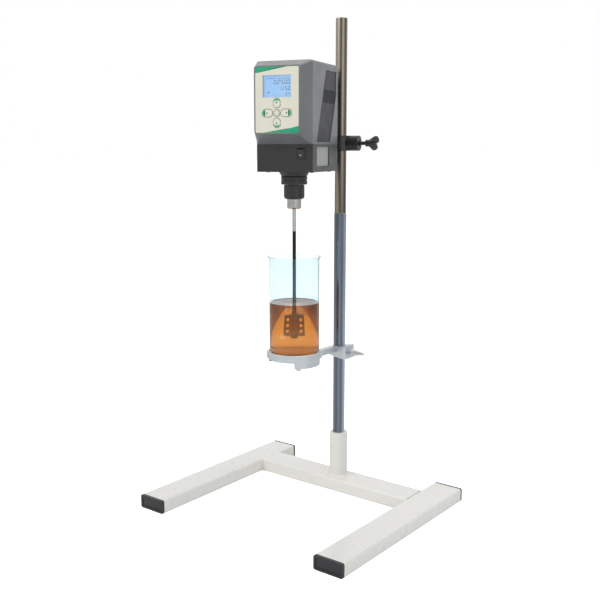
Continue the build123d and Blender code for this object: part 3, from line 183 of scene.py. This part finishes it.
def two_lengths(mat, low, high, border):
    """Dark below a level and bright above it, as on a shaft that is coated as far as it dips."""
    nodes, wires = links(mat)
    place = nodes.new("ShaderNodeTexCoord")
    parts = nodes.new("ShaderNodeSeparateXYZ")
    wires.new(place.outputs["Object"], parts.inputs["Vector"])
    share = nodes.new("ShaderNodeMapRange")
    share.inputs["From Min"].default_value = border - 0.001
    share.inputs["From Max"].default_value = border + 0.001
    wires.new(parts.outputs["Z"], share.inputs["Value"])
    ramp = nodes.new("ShaderNodeValToRGB")
    ramp.color_ramp.elements[0].color = (*low, 1)
    ramp.color_ramp.elements[1].color = (*high, 1)
    wires.new(share.outputs["Result"], ramp.inputs["Fac"])
    wires.new(ramp.outputs["Color"], nodes["Principled BSDF"].inputs["Base Color"])


def clear_pane(name, tint, opacity):
    """Thin clear sheet with faint wipe marks in its gloss."""
    mat = base_material(name, tint, 0.08, coat=0.4)
    mat.node_tree.nodes["Principled BSDF"].inputs["Alpha"].default_value = opacity
    vary_rough(mat, noise(mat, 25, 3), 0.05, 0.14)
    return mat


# Brightness of each painted reflection streak round the lower and upper rods, as shares of their colour
LOWER_ROD_PAINTED_REFLECTIONS = (0.5, 0.9, 0.35, 0.75, 0.4, 0.8, 0.45, 1.6, 1.2, 0.5, 0.9, 0.4, 0.8, 0.6, 0.5)
UPPER_ROD_PAINTED_REFLECTIONS = (0.6, 1.2, 0.4, 1.3, 1.5, 0.4, 1.0, 0.35, 1.4, 0.5, 1.0, 0.4, 1.1, 0.5, 0.6)
SHAFT_COATED_TO = 0.4135
FINE_GRAIN = 1500
PRINT_DEPTH = 0.00001

stand_enamel = enamel("stand_enamel", (0.80, 0.785, 0.74))
black_cap = plastic("black_cap", (0.018, 0.018, 0.02), 0.38)
# Both rods carry painted reflections: dark and bright streaks in their base colour
lower_steel = metal("lower_rod_steel", (0.30, 0.34, 0.40), 0.2, scale=20, contrast=0.1)
painted_reflection_bands(lower_steel, (0.26, 0.30, 0.36), LOWER_ROD_PAINTED_REFLECTIONS)
upper_steel = metal("upper_rod_steel", (0.26, 0.225, 0.19), 0.26, scale=20, contrast=0.1)
painted_reflection_bands(upper_steel, (0.22, 0.19, 0.155), UPPER_ROD_PAINTED_REFLECTIONS)
arm_steel = metal("arm_steel", (0.36, 0.33, 0.30), 0.26, scale=70, contrast=0.15)
plain_steel = metal("plain_steel", (0.52, 0.52, 0.52), 0.25, (1, 1, 18), 120)
shaft_steel = metal("shaft_steel", (0.52, 0.52, 0.52), 0.22, (1, 1, 18), 120)
two_lengths(shaft_steel, (0.03, 0.028, 0.028), (0.58, 0.57, 0.55), SHAFT_COATED_TO)
dark_steel = metal("dark_steel", (0.16, 0.15, 0.15), 0.3, (1, 1, 12), 120, 0.2)
screw_steel = metal("screw_steel", (0.62, 0.61, 0.58), 0.22)
nose_steel = metal("nose_steel", (0.55, 0.54, 0.50), 0.18, (1, 1, 30), 100)
cast_metal = metal("cast_metal", (0.56, 0.59, 0.61), 0.4, contrast=0.05, depth=0.00005)
black_metal = enamel("black_metal", (0.010, 0.010, 0.011), 0.42, 0.05, 0.0001)
knob_black = plastic("knob_black", (0.02, 0.019, 0.02), 0.33)
cover_grey = plastic("cover_grey", (0.150, 0.155, 0.16), 0.36, 700, 0.00005, 0.1)
vent_grey = plastic("vent_grey", (0.026, 0.027, 0.03), 0.5)
case_black = plastic("case_black", (0.012, 0.012, 0.013), 0.42, 650, 0.00008)
frame_grey = plastic("frame_grey", (0.062, 0.064, 0.068), 0.45)
fascia = plastic("fascia", (0.72, 0.70, 0.58), 0.42, 1200, 0.00002, 0.1, 0.03)
key_pale = plastic("key_pale", (0.74, 0.73, 0.62), 0.36, 1200, 0.00002, 0.2, 0.03)
panel_grey = enamel("panel_grey", (0.10, 0.105, 0.11), 0.4, 0.1)
motor_paint = enamel("motor_paint", (0.05, 0.05, 0.055), 0.4, 0.1)
plate_aluminium = metal("plate_aluminium", (0.68, 0.68, 0.69), 0.35)
gear_steel = metal("gear_steel", (0.40, 0.40, 0.42), 0.3)
laminate = plastic("laminate", (0.02, 0.16, 0.07), 0.4)
rubber = plastic("rubber", (0.02, 0.02, 0.02), 0.7)
blank_label = plastic("blank_label", (0.34, 0.34, 0.33), 0.4, FINE_GRAIN, PRINT_DEPTH, 0.1, 0.02)
green_dark = plastic("green_dark", (0.0, 0.13, 0.07), 0.4, FINE_GRAIN, PRINT_DEPTH, 0.1, 0.1)
green_bright = plastic("green_bright", (0.0, 0.33, 0.17), 0.38, FINE_GRAIN, PRINT_DEPTH, 0.1, 0.12)
ink = plastic("ink", (0.02, 0.035, 0.03), 0.5, FINE_GRAIN, PRINT_DEPTH, 0.0, 0.1)
digit_ink = plastic("digit_ink", (0.015, 0.06, 0.20), 0.5, FINE_GRAIN, PRINT_DEPTH, 0.0, 0.1)
dot_grey = plastic("dot_grey", (0.25, 0.25, 0.26), 0.35, FINE_GRAIN, PRINT_DEPTH, 0.2, 0.05)

display_blue = plastic("display_blue", (0.37, 0.60, 0.80), 0.35, FINE_GRAIN, PRINT_DEPTH, 0.0, 0.04)
display_shader = display_blue.node_tree.nodes["Principled BSDF"]
display_shader.inputs["Emission Color"].default_value = (0.42, 0.66, 0.90, 1)
display_shader.inputs["Emission Strength"].default_value = 0.25
window_pane = clear_pane("window_pane", (0.75, 0.85, 0.95), 0.12)

glass = base_material("beaker_glass", (0.84, 0.94, 0.97), 0.02, ior=1.47, transmission=1.0)
vary_rough(glass, noise(glass, 18, 3), 0.0, 0.035)
bump(glass, noise(glass, 30, 2), 0.04, 0.0004)

liquid_mat = base_material("orange_liquid", (1.0, 0.30, 0.03), 0.02, ior=1.34, transmission=0.72)
vary_color(liquid_mat, noise(liquid_mat, 16, 3), (1.0, 0.27, 0.025), (1.0, 0.33, 0.035))

finish = {
    stand_enamel: ["left_leg_tube", "right_leg_tube", "cross_tube", "post_socket"],
    lower_steel: ["lower_rod"],
    upper_steel: ["upper_rod"],
    arm_steel: ["mounting_arm"],
    plain_steel: ["socket_set_screw", "joining_stud", "spindle", "lower_bearing", "upper_bearing"],
    shaft_steel: ["stirring_shaft"],
    black_cap: ["paddle", "front_left_cap", "front_right_cap", "back_left_cap", "back_right_cap"],
    dark_steel: ["chuck_jaw_1", "chuck_jaw_2", "chuck_jaw_3"],
    screw_steel: ["ring_screws", "flange_screws"],
    nose_steel: ["chuck_body"],
    cast_metal: ["ring_arm", "support_ring", "ring_thumb_screw"],
    black_metal: ["boss_head", "arm_flange", "bearing_cap", "chuck_sleeve"],
    knob_black: ["rod_clamp_screw", "arm_clamp_screw", "power_inlet", "rocker_frame", "rocker"],
    cover_grey: ["upper_cover", "front_bezel"],
    vent_grey: ["left_vent_panel", "right_vent_panel"],
    case_black: ["lower_case"],
    frame_grey: ["left_side_frame", "right_side_frame"],
    fascia: ["keypad_panel"],
    key_pale: ["key_up", "key_down", "key_left", "key_right", "key_centre"],
    panel_grey: ["rear_panel"],
    motor_paint: ["motor_can"],
    plate_aluminium: ["motor_plate"],
    gear_steel: ["rotor", "pinion", "output_gear"],
    laminate: ["control_board"],
    rubber: ["ring_pad"],
    display_blue: ["display_module"],
    window_pane: ["display_window"],
    glass: ["beaker"],
}
for mat, names in finish.items():
    for name in names:
        part = frame["nodes"][name]
        part.data.materials.clear()
        part.data.materials.append(mat)


# Mesh helpers
def new_piece(name, mesh_builder, mat, body, smooth=False):
    """Piece whose mesh a builder function fills; it rides on a body."""
    mesh = bpy.data.meshes.new(name)
    work = bmesh.new()
    mesh_builder(work)
    bmesh.ops.recalc_face_normals(work, faces=work.faces)
    work.to_mesh(mesh)
    work.free()
    if smooth:
        for face in mesh.polygons:
            face.use_smooth = True
    piece = bpy.data.objects.new(name, mesh)
    bpy.context.scene.collection.objects.link(piece)
    piece.data.materials.append(mat)
    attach(piece, body)
    return piece


def prisms(outlines, to_world, front, back):
    """Builder for thin flat shapes: outlines in a plane, from its front depth to its back depth."""
    def build(work):
        for outline in outlines:
            near = [work.verts.new(to_world(a, front, b)) for a, b in outline]
            far = [work.verts.new(to_world(a, back, b)) for a, b in outline]
            work.faces.new(near)
            work.faces.new(list(reversed(far)))
            count = len(outline)
            for i in range(count):
                j = (i + 1) % count
                work.faces.new((near[i], far[i], far[j], near[j]))
        bmesh.ops.triangulate(work, faces=[f for f in work.faces if len(f.verts) > 4])
    return build


def key_point(rx, rz, grow, angle):
    """Point of the outline of a long or round key: two half circles joined by straight sides."""
    radius = min(rx, rz) + grow
    x, z = radius * math.cos(angle), radius * math.sin(angle)
    x += math.copysign(max(0, rx - rz), x)
    z += math.copysign(max(0, rz - rx), z)
    return x, z


def circle(x, z, radius, count=24):
    """Outline of a disc."""
    angles = [2 * math.pi * i / count for i in range(count)]
    return [(x + radius * math.cos(angle), z + radius * math.sin(angle)) for angle in angles]


def quad(x0, z0, x1, z1):
    """Outline of a rectangle between two corners."""
    return [(x0, z0), (x1, z0), (x1, z1), (x0, z1)]


# Fascia graphics, as thin foils on the fascia: how far they stand out and reach in, in millimetres
FACE = -59.0
LIFT = 0.05
SINK = 0.02
FASCIA_LEFT, FASCIA_RIGHT = -31.6, 31.6
FASCIA_LOW, FASCIA_HIGH = 548.4, 634.1
LINE = 0.45


def on_face(name, outlines, mat, face=FACE, body="head", lift=LIFT):
    """Foil on an upright face of the head."""
    return new_piece(name, prisms(outlines, head, face - lift, face + SINK), mat, body)


on_face("fascia_line", [
    quad(FASCIA_LEFT, FASCIA_LOW, FASCIA_RIGHT, FASCIA_LOW + LINE),
    quad(FASCIA_LEFT, FASCIA_HIGH - LINE, FASCIA_RIGHT, FASCIA_HIGH),
    quad(FASCIA_LEFT, FASCIA_LOW + LINE, FASCIA_LEFT + LINE, FASCIA_HIGH - LINE),
    quad(FASCIA_RIGHT - LINE, FASCIA_LOW + LINE, FASCIA_RIGHT, FASCIA_HIGH - LINE),
], green_dark)

# A green wave in two corners of the fascia
WAVE_STEPS = 16
UPPER_WAVE_LENGTH, UPPER_WAVE_DROP, UPPER_WAVE_BEND = 46.0, 7.6, 1.7
LOWER_WAVE_LEFT, LOWER_WAVE_LIFT, LOWER_WAVE_RISE, LOWER_WAVE_BEND = -19.0, 0.2, 8.4, 1.5
inside_left, inside_right = FASCIA_LEFT + LINE, FASCIA_RIGHT - LINE
inside_low, inside_high = FASCIA_LOW + LINE, FASCIA_HIGH - LINE
wave_shares = [i / WAVE_STEPS for i in range(WAVE_STEPS + 1)]
top_wave = [(inside_left + t * UPPER_WAVE_LENGTH, inside_high - UPPER_WAVE_DROP * (1 - t) ** UPPER_WAVE_BEND)
            for t in wave_shares]
on_face("upper_wave", [[(inside_left, inside_high)] + top_wave], green_bright)
low_wave = [(LOWER_WAVE_LEFT + t * (inside_right - LOWER_WAVE_LEFT),
             inside_low + LOWER_WAVE_LIFT + LOWER_WAVE_RISE * t ** LOWER_WAVE_BEND) for t in wave_shares]
on_face("lower_wave", [low_wave + [(inside_right, inside_low)]], green_bright)

# Keys: middle from the centre key, half width and half height, and which way the arrow points
KEY_Z = 574.3
KEY_FACE = -59.9
CENTRE_KEY = (0, 0, 4.3, 4.3)
SIDE_KEYS = {
    "key_up": (0, 12.9, 4.7, 6.0, 90),
    "key_down": (0, -12.9, 4.7, 6.0, -90),
    "key_left": (-13.6, 0, 7.4, 4.7, 180),
    "key_right": (13.6, 0, 7.4, 4.7, 0),
}
CRESCENT_STEPS = 18
CRESCENT_SWEEP = 172
CRESCENT_INSET = 0.55
CRESCENT_EDGE, CRESCENT_BELLY = 0.15, 2.1
ARROW_MIDDLE, ARROW_TIP, ARROW_TAIL, ARROW_HALF = 0.6, 1.5, 0.9, 1.4
DOT_COUNT, DOT_CIRCLE, DOT_RADIUS = 10, 2.9, 0.42
OUTLINE_STEPS, OUTLINE_INSIDE, OUTLINE_OUTSIDE = 48, 0.3, 0.75

for key, (cx, cz, rx, rz, turn) in SIDE_KEYS.items():
    aim = math.radians(turn)
    ux, uz = math.cos(aim), math.sin(aim)
    outer, inner = [], []
    for i in range(CRESCENT_STEPS + 1):
        share = i / CRESCENT_STEPS
        x, z = key_point(rx, rz, -CRESCENT_INSET, aim + math.radians(CRESCENT_SWEEP * (share - 0.5)))
        thick = CRESCENT_EDGE + CRESCENT_BELLY * math.cos((share - 0.5) * math.pi)
        outer.append((cx + x, KEY_Z + cz + z))
        inner.append((cx + x - thick * ux, KEY_Z + cz + z - thick * uz))
    on_face(f"{key}_crescent", [outer + inner[::-1]], green_bright, KEY_FACE, key)
    mx, mz = cx + ux * ARROW_MIDDLE, KEY_Z + cz + uz * ARROW_MIDDLE
    tail_x, tail_z = mx - ux * ARROW_TAIL, mz - uz * ARROW_TAIL
    arrow = [
        (mx + ux * ARROW_TIP, mz + uz * ARROW_TIP),
        (tail_x - uz * ARROW_HALF, tail_z + ux * ARROW_HALF),
        (tail_x + uz * ARROW_HALF, tail_z - ux * ARROW_HALF),
    ]
    on_face(f"{key}_arrow", [arrow], ink, KEY_FACE, key)

dots = [circle(x, z, DOT_RADIUS, 10) for x, z in circle(0, KEY_Z, DOT_CIRCLE, DOT_COUNT)]
on_face("key_centre_dots", dots, green_dark, KEY_FACE, "key_centre")

outlined_keys = {key: shape[:4] for key, shape in SIDE_KEYS.items()}
outlined_keys["key_centre"] = CENTRE_KEY
for key, (cx, cz, rx, rz) in outlined_keys.items():
    ring = []
    for i in range(OUTLINE_STEPS):
        a0, a1 = 2 * math.pi * i / OUTLINE_STEPS, 2 * math.pi * (i + 1) / OUTLINE_STEPS
        corners = [
            key_point(rx, rz, OUTLINE_INSIDE, a0),
            key_point(rx, rz, OUTLINE_OUTSIDE, a0),
            key_point(rx, rz, OUTLINE_OUTSIDE, a1),
            key_point(rx, rz, OUTLINE_INSIDE, a1),
        ]
        ring.append([(cx + x, KEY_Z + cz + z) for x, z in corners])
    on_face(f"{key}_outline", ring, green_dark)

# Display: figures of seven bars each
SEGMENTS = {"0": "abcdef", "1": "bc", "2": "abged", "4": "fgbc", "5": "afgcd"}
DISPLAY_FACE = -56.0
DISPLAY_LIFT = 0.06
FIGURES_END = 17.6
FIGURE_GAP = 0.38           # between two figures, as a share of their width
FIGURE_ROWS = (             # text, level of its foot, and the width, height and bar of a figure
    ("02500", 611.6, 3.5, 5.6, 0.8),
    ("1250", 603.6, 3.0, 4.9, 0.7),
    ("24", 597.0, 2.6, 4.0, 0.6),
)
DISPLAY_DOT = (-13.2, 601.2, 1.1)
RULES = ((-15.6, -4.0), (0.5, FIGURES_END))
RULE_LOW, RULE_HIGH = 618.6, 619.1


def digit(x, z, width, height, figure, bar):
    """Bars of one figure; a to g are its seven bars, from the top round to the middle."""
    mid = z + height / 2
    places = {
        "a": quad(x + bar, z + height - bar, x + width - bar, z + height),
        "g": quad(x + bar, mid - bar / 2, x + width - bar, mid + bar / 2),
        "d": quad(x + bar, z, x + width - bar, z + bar),
        "b": quad(x + width - bar, mid + bar * 0.6, x + width, z + height - bar * 0.6),
        "c": quad(x + width - bar, z + bar * 0.6, x + width, mid - bar * 0.6),
        "f": quad(x, mid + bar * 0.6, x + bar, z + height - bar * 0.6),
        "e": quad(x, z + bar * 0.6, x + bar, mid - bar * 0.6),
    }
    return [places[s] for s in SEGMENTS[figure]]


def on_display(name, outlines):
    """Dark print behind the window."""
    return on_face(name, outlines, digit_ink, DISPLAY_FACE, "head", DISPLAY_LIFT)


figures = []
for text, foot, width, height, bar in FIGURE_ROWS:
    x = FIGURES_END
    for figure in reversed(text):
        x -= width
        figures += digit(x, foot, width, height, figure, bar)
        x -= width * FIGURE_GAP
on_display("display_figures", figures)
rules = [quad(start, RULE_LOW, end, RULE_HIGH) for start, end in RULES]
on_display("display_marks", [circle(*DISPLAY_DOT, 16)] + rules)

# Blank label on each side frame, with rounded corners
LABEL_FRONT, LABEL_BACK = -16.4, 27.4
LABEL_LOW, LABEL_HIGH = 505.6, 529.4
LABEL_CORNER, LABEL_CORNER_STEPS = 1.2, 4
LABEL_OUTSIDE, LABEL_INSIDE = 39.7, 39.45

for name, side in (("left_blank_label", -1), ("right_blank_label", 1)):
    def beside(a, depth, b, side=side):
        return head(side * depth, a, b)

    outline = []
    for cx, cz, start in (
        (LABEL_BACK, LABEL_HIGH, 0), (LABEL_FRONT, LABEL_HIGH, 90),
        (LABEL_FRONT, LABEL_LOW, 180), (LABEL_BACK, LABEL_LOW, 270),
    ):
        for i in range(LABEL_CORNER_STEPS + 1):
            angle = math.radians(start + 90 / LABEL_CORNER_STEPS * i)
            outline.append((cx + LABEL_CORNER * math.cos(angle), cz + LABEL_CORNER * math.sin(angle)))
    label_shape = prisms([outline], beside, LABEL_OUTSIDE, LABEL_INSIDE)
    new_piece(name, label_shape, blank_label, "head")

# Dot on the rocker of the switch
SWITCH_DOT = (23.5, 519.2, 1.3)
SWITCH_DOT_FRONT, SWITCH_DOT_BACK = -34.72, -34.3
dot_shape = prisms([circle(*SWITCH_DOT, 20)], head, SWITCH_DOT_FRONT, SWITCH_DOT_BACK)
new_piece("switch_mark", dot_shape, dot_grey, "rocker")

# Small screws in the back and the underside of the head
SCREW_SIDES = 24
DOME = ((1.0, 0.0), (1.0, 0.28), (0.86, 0.42), (0.6, 0.52))
RECESS_FLOOR = 0.12
CROSS_REACH, CROSS_WAIST = 0.5, 0.2
CROSS_REACH_RISE, CROSS_WAIST_RISE = 0.46, 0.5


def screw_head(name, centre, normal, across, radius):
    """Small domed screw head with a cross recess; its shares are of its radius."""
    third = normal.cross(across)

    def ring_point(i, share, rise):
        angle = 2 * math.pi * i / SCREW_SIDES
        around = across * math.cos(angle) + third * math.sin(angle)
        return centre + around * radius * share + normal * radius * rise

    def build(work):
        rings = []
        for share, rise in DOME:
            rings.append([work.verts.new(ring_point(i, share, rise)) for i in range(SCREW_SIDES)])
        for low_ring, high_ring in zip(rings, rings[1:]):
            for i in range(SCREW_SIDES):
                j = (i + 1) % SCREW_SIDES
                work.faces.new((low_ring[i], low_ring[j], high_ring[j], high_ring[i]))
        bottom = work.verts.new(centre + normal * radius * RECESS_FLOOR)
        recess = []
        for i in range(SCREW_SIDES):
            in_arm = i % (SCREW_SIDES // 4) == 0
            reach = CROSS_REACH if in_arm else CROSS_WAIST
            rise = CROSS_REACH_RISE if in_arm else CROSS_WAIST_RISE
            recess.append(work.verts.new(ring_point(i, reach, rise)))
        for i in range(SCREW_SIDES):
            j = (i + 1) % SCREW_SIDES
            work.faces.new((rings[-1][i], rings[-1][j], recess[j], recess[i]))
            work.faces.new((recess[i], recess[j], bottom))
        work.faces.new(list(reversed(rings[0])))
    return new_piece(name, build, screw_steel, "head")


SCREW_SIDE = 33
PANEL_FACE, PANEL_SCREW_LOW, PANEL_SCREW_HIGH, PANEL_SCREW_RADIUS = 62.5, 505, 634, 0.0026
CASE_UNDERSIDE, CASE_SCREW_FRONT, CASE_SCREW_BACK, CASE_SCREW_RADIUS = 496.5, -15, 50, 0.0028
place = 0
for z in (PANEL_SCREW_LOW, PANEL_SCREW_HIGH):
    for x in (-SCREW_SIDE, SCREW_SIDE):
        place += 1
        screw_head(f"panel_screw_{place}", head(x, PANEL_FACE, z), BACK, RIGHT, PANEL_SCREW_RADIUS)
place = 0
for y in (CASE_SCREW_FRONT, CASE_SCREW_BACK):
    for x in (-SCREW_SIDE, SCREW_SIDE):
        place += 1
        screw_head(f"case_screw_{place}", head(x, y, CASE_UNDERSIDE), -UP, RIGHT, CASE_SCREW_RADIUS)

# Liquid, in metres: it touches the glass all round, and its surface dips a little towards the shaft
BEAKER_FLOOR = 0.002
LIQUID_TOP = 0.3118
LIQUID_RADIUS = 0.03414
WETTING = 0.00003           # how far it reaches into the floor of the glass
LIQUID_ROUND = 0.0044
LIQUID_SIDES = 72
ROUND_STEPS = 6
SURFACE_STEPS = 9
RIM_AT_GLASS = 0.0006       # level of the raised rim of its surface where it touches the glass
RIM_STEP, RIM_STEP_LEVEL = 0.0007, 0.0001
SURFACE_EDGE = 0.0022       # width of that rim
SURFACE_LEVEL = -0.0002
SURFACE_DIP = 0.0012
beaker_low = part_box("beaker")[0]
liquid_low = beaker_low.z + BEAKER_FLOOR - WETTING


def liquid_shape(work):
    """Closed body of the liquid, as rings from its floor up its side and in to the middle of its surface."""
    profile = [(LIQUID_RADIUS - LIQUID_ROUND, liquid_low)]
    for i in range(1, ROUND_STEPS + 1):
        angle = math.pi / 2 * i / ROUND_STEPS
        profile.append((LIQUID_RADIUS - LIQUID_ROUND + LIQUID_ROUND * math.sin(angle),
                        liquid_low + LIQUID_ROUND * (1 - math.cos(angle))))
    profile.append((LIQUID_RADIUS, LIQUID_TOP + RIM_AT_GLASS))
    profile.append((LIQUID_RADIUS - RIM_STEP, LIQUID_TOP + RIM_STEP_LEVEL))
    surface_radius = LIQUID_RADIUS - SURFACE_EDGE
    profile.append((surface_radius, LIQUID_TOP + SURFACE_LEVEL))
    for step in range(1, SURFACE_STEPS):
        share = 1 - step / SURFACE_STEPS
        profile.append((surface_radius * share, LIQUID_TOP + SURFACE_LEVEL - SURFACE_DIP * (1 - share) ** 2))
    rings = []
    for radius, z in profile:
        level = circle(CHUCK.x, CHUCK.y, radius, LIQUID_SIDES)
        rings.append([work.verts.new((x, y, z)) for x, y in level])
    bottom = work.verts.new((CHUCK.x, CHUCK.y, liquid_low))
    top = work.verts.new((CHUCK.x, CHUCK.y, LIQUID_TOP + SURFACE_LEVEL - SURFACE_DIP))
    for i in range(LIQUID_SIDES):
        j = (i + 1) % LIQUID_SIDES
        work.faces.new((bottom, rings[0][j], rings[0][i]))
        for low_ring, high_ring in zip(rings, rings[1:]):
            work.faces.new((low_ring[i], low_ring[j], high_ring[j], high_ring[i]))
        work.faces.new((rings[-1][i], rings[-1][j], top))


new_piece("liquid", liquid_shape, liquid_mat, "ring_support", True)

# Floor
FLOOR_REACH = 30
floor_corners = [(x, y, 0) for x, y in quad(-FLOOR_REACH, -FLOOR_REACH, FLOOR_REACH, FLOOR_REACH)]
floor_mesh = bpy.data.meshes.new("floor")
floor_mesh.from_pydata(floor_corners, [], [(0, 1, 2, 3)])
floor = bpy.data.objects.new("floor", floor_mesh)
bpy.context.scene.collection.objects.link(floor)
floor_mat = bpy.data.materials.new("floor")
floor_mat.use_nodes = True
floor_nodes, floor_wires = links(floor_mat)
floor_shader = floor_nodes["Principled BSDF"]
floor_shader.inputs["Base Color"].default_value = (0.93, 0.93, 0.93, 1)
floor_shader.inputs["Roughness"].default_value = 0.9
floor_shader.inputs["Specular IOR Level"].default_value = 0.1
floor_shader.inputs["Emission Color"].default_value = (0.62, 0.62, 0.62, 1)
floor_paths = floor_nodes.new("ShaderNodeLightPath")
floor_seen = floor_nodes.new("ShaderNodeMath")
floor_seen.operation = "MAXIMUM"
floor_wires.new(floor_paths.outputs["Is Camera Ray"], floor_seen.inputs[0])
floor_wires.new(floor_paths.outputs["Is Transmission Ray"], floor_seen.inputs[1])
floor_wires.new(floor_seen.outputs[0], floor_shader.inputs["Emission Strength"])
floor.data.materials.append(floor_mat)

# World: soft sky on the object, white where the camera, glass and metal see it
world = bpy.data.worlds.new("studio")
world.use_nodes = True
bpy.context.scene.world = world
nodes, wires = links(world)
sky = nodes["Background"]
sky.inputs["Color"].default_value = (0.95, 0.97, 1.0, 1)
sky.inputs["Strength"].default_value = 0.5
white = nodes.new("ShaderNodeBackground")
white.inputs["Color"].default_value = (1, 1, 1, 1)
white.inputs["Strength"].default_value = 1.0
paths = nodes.new("ShaderNodeLightPath")
seen = nodes.new("ShaderNodeMath")
seen.operation = "MAXIMUM"
wires.new(paths.outputs["Is Camera Ray"], seen.inputs[0])
wires.new(paths.outputs["Is Transmission Ray"], seen.inputs[1])
shown = nodes.new("ShaderNodeMath")
shown.operation = "MAXIMUM"
wires.new(seen.outputs[0], shown.inputs[0])
wires.new(paths.outputs["Is Glossy Ray"], shown.inputs[1])
mix = nodes.new("ShaderNodeMixShader")
wires.new(shown.outputs[0], mix.inputs["Fac"])
wires.new(sky.outputs["Background"], mix.inputs[1])
wires.new(white.outputs["Background"], mix.inputs[2])
wires.new(mix.outputs["Shader"], nodes["World Output"].inputs["Surface"])


# Lamps
def lamp(name, place, aim, size, power, color=(1, 1, 1)):
    """Square soft lamp that points at a place."""
    data = bpy.data.lights.new(name, "AREA")
    data.shape = "RECTANGLE"
    data.size = size
    data.size_y = size
    data.energy = power
    data.color = color
    light = bpy.data.objects.new(name, data)
    light.location = place
    light.rotation_euler = (Vector(aim) - Vector(place)).to_track_quat("-Z", "Y").to_euler()
    bpy.context.scene.collection.objects.link(light)


lamp("key", (-0.9, -2.2, 1.9), (0, -0.1, 0.35), 1.3, 27, (1.0, 0.985, 0.96))
lamp("fill", (2.2, -1.1, 1.2), (0, -0.1, 0.35), 1.6, 11, (0.96, 0.98, 1.0))
lamp("top", (0.2, 0.4, 2.4), (0, -0.1, 0.3), 1.6, 15)

# Camera, matched to the photograph; the focal length and the horizon are in its pixels
FRAME_PIXELS = 600
FOCAL_PIXELS = 876.722
HORIZON_PIXELS = 150.8      # from the middle of the frame up to the horizon
SENSOR = 36
CAMERA_PLACE = (0.76504, -1.08246, 0.527276)
YAW = -0.661
PITCH = math.atan(HORIZON_PIXELS / FOCAL_PIXELS)
forward = Vector((math.sin(YAW) * math.cos(PITCH), math.cos(YAW) * math.cos(PITCH), -math.sin(PITCH)))
across = Vector((math.cos(YAW), -math.sin(YAW), 0))
above = across.cross(forward)
camera_data = bpy.data.cameras.new("camera")
camera_data.sensor_width = SENSOR
camera_data.lens = FOCAL_PIXELS / FRAME_PIXELS * SENSOR
camera_data.clip_start = 0.01
camera_data.clip_end = 100
camera = bpy.data.objects.new("camera", camera_data)
camera_turn = Matrix((across, above, -forward)).transposed().to_4x4()
camera.matrix_world = Matrix.Translation(CAMERA_PLACE) @ camera_turn
bpy.context.scene.collection.objects.link(camera)
bpy.context.scene.camera = camera
bpy.context.scene.view_settings.view_transform = "Standard"

bpy.context.view_layer.update()
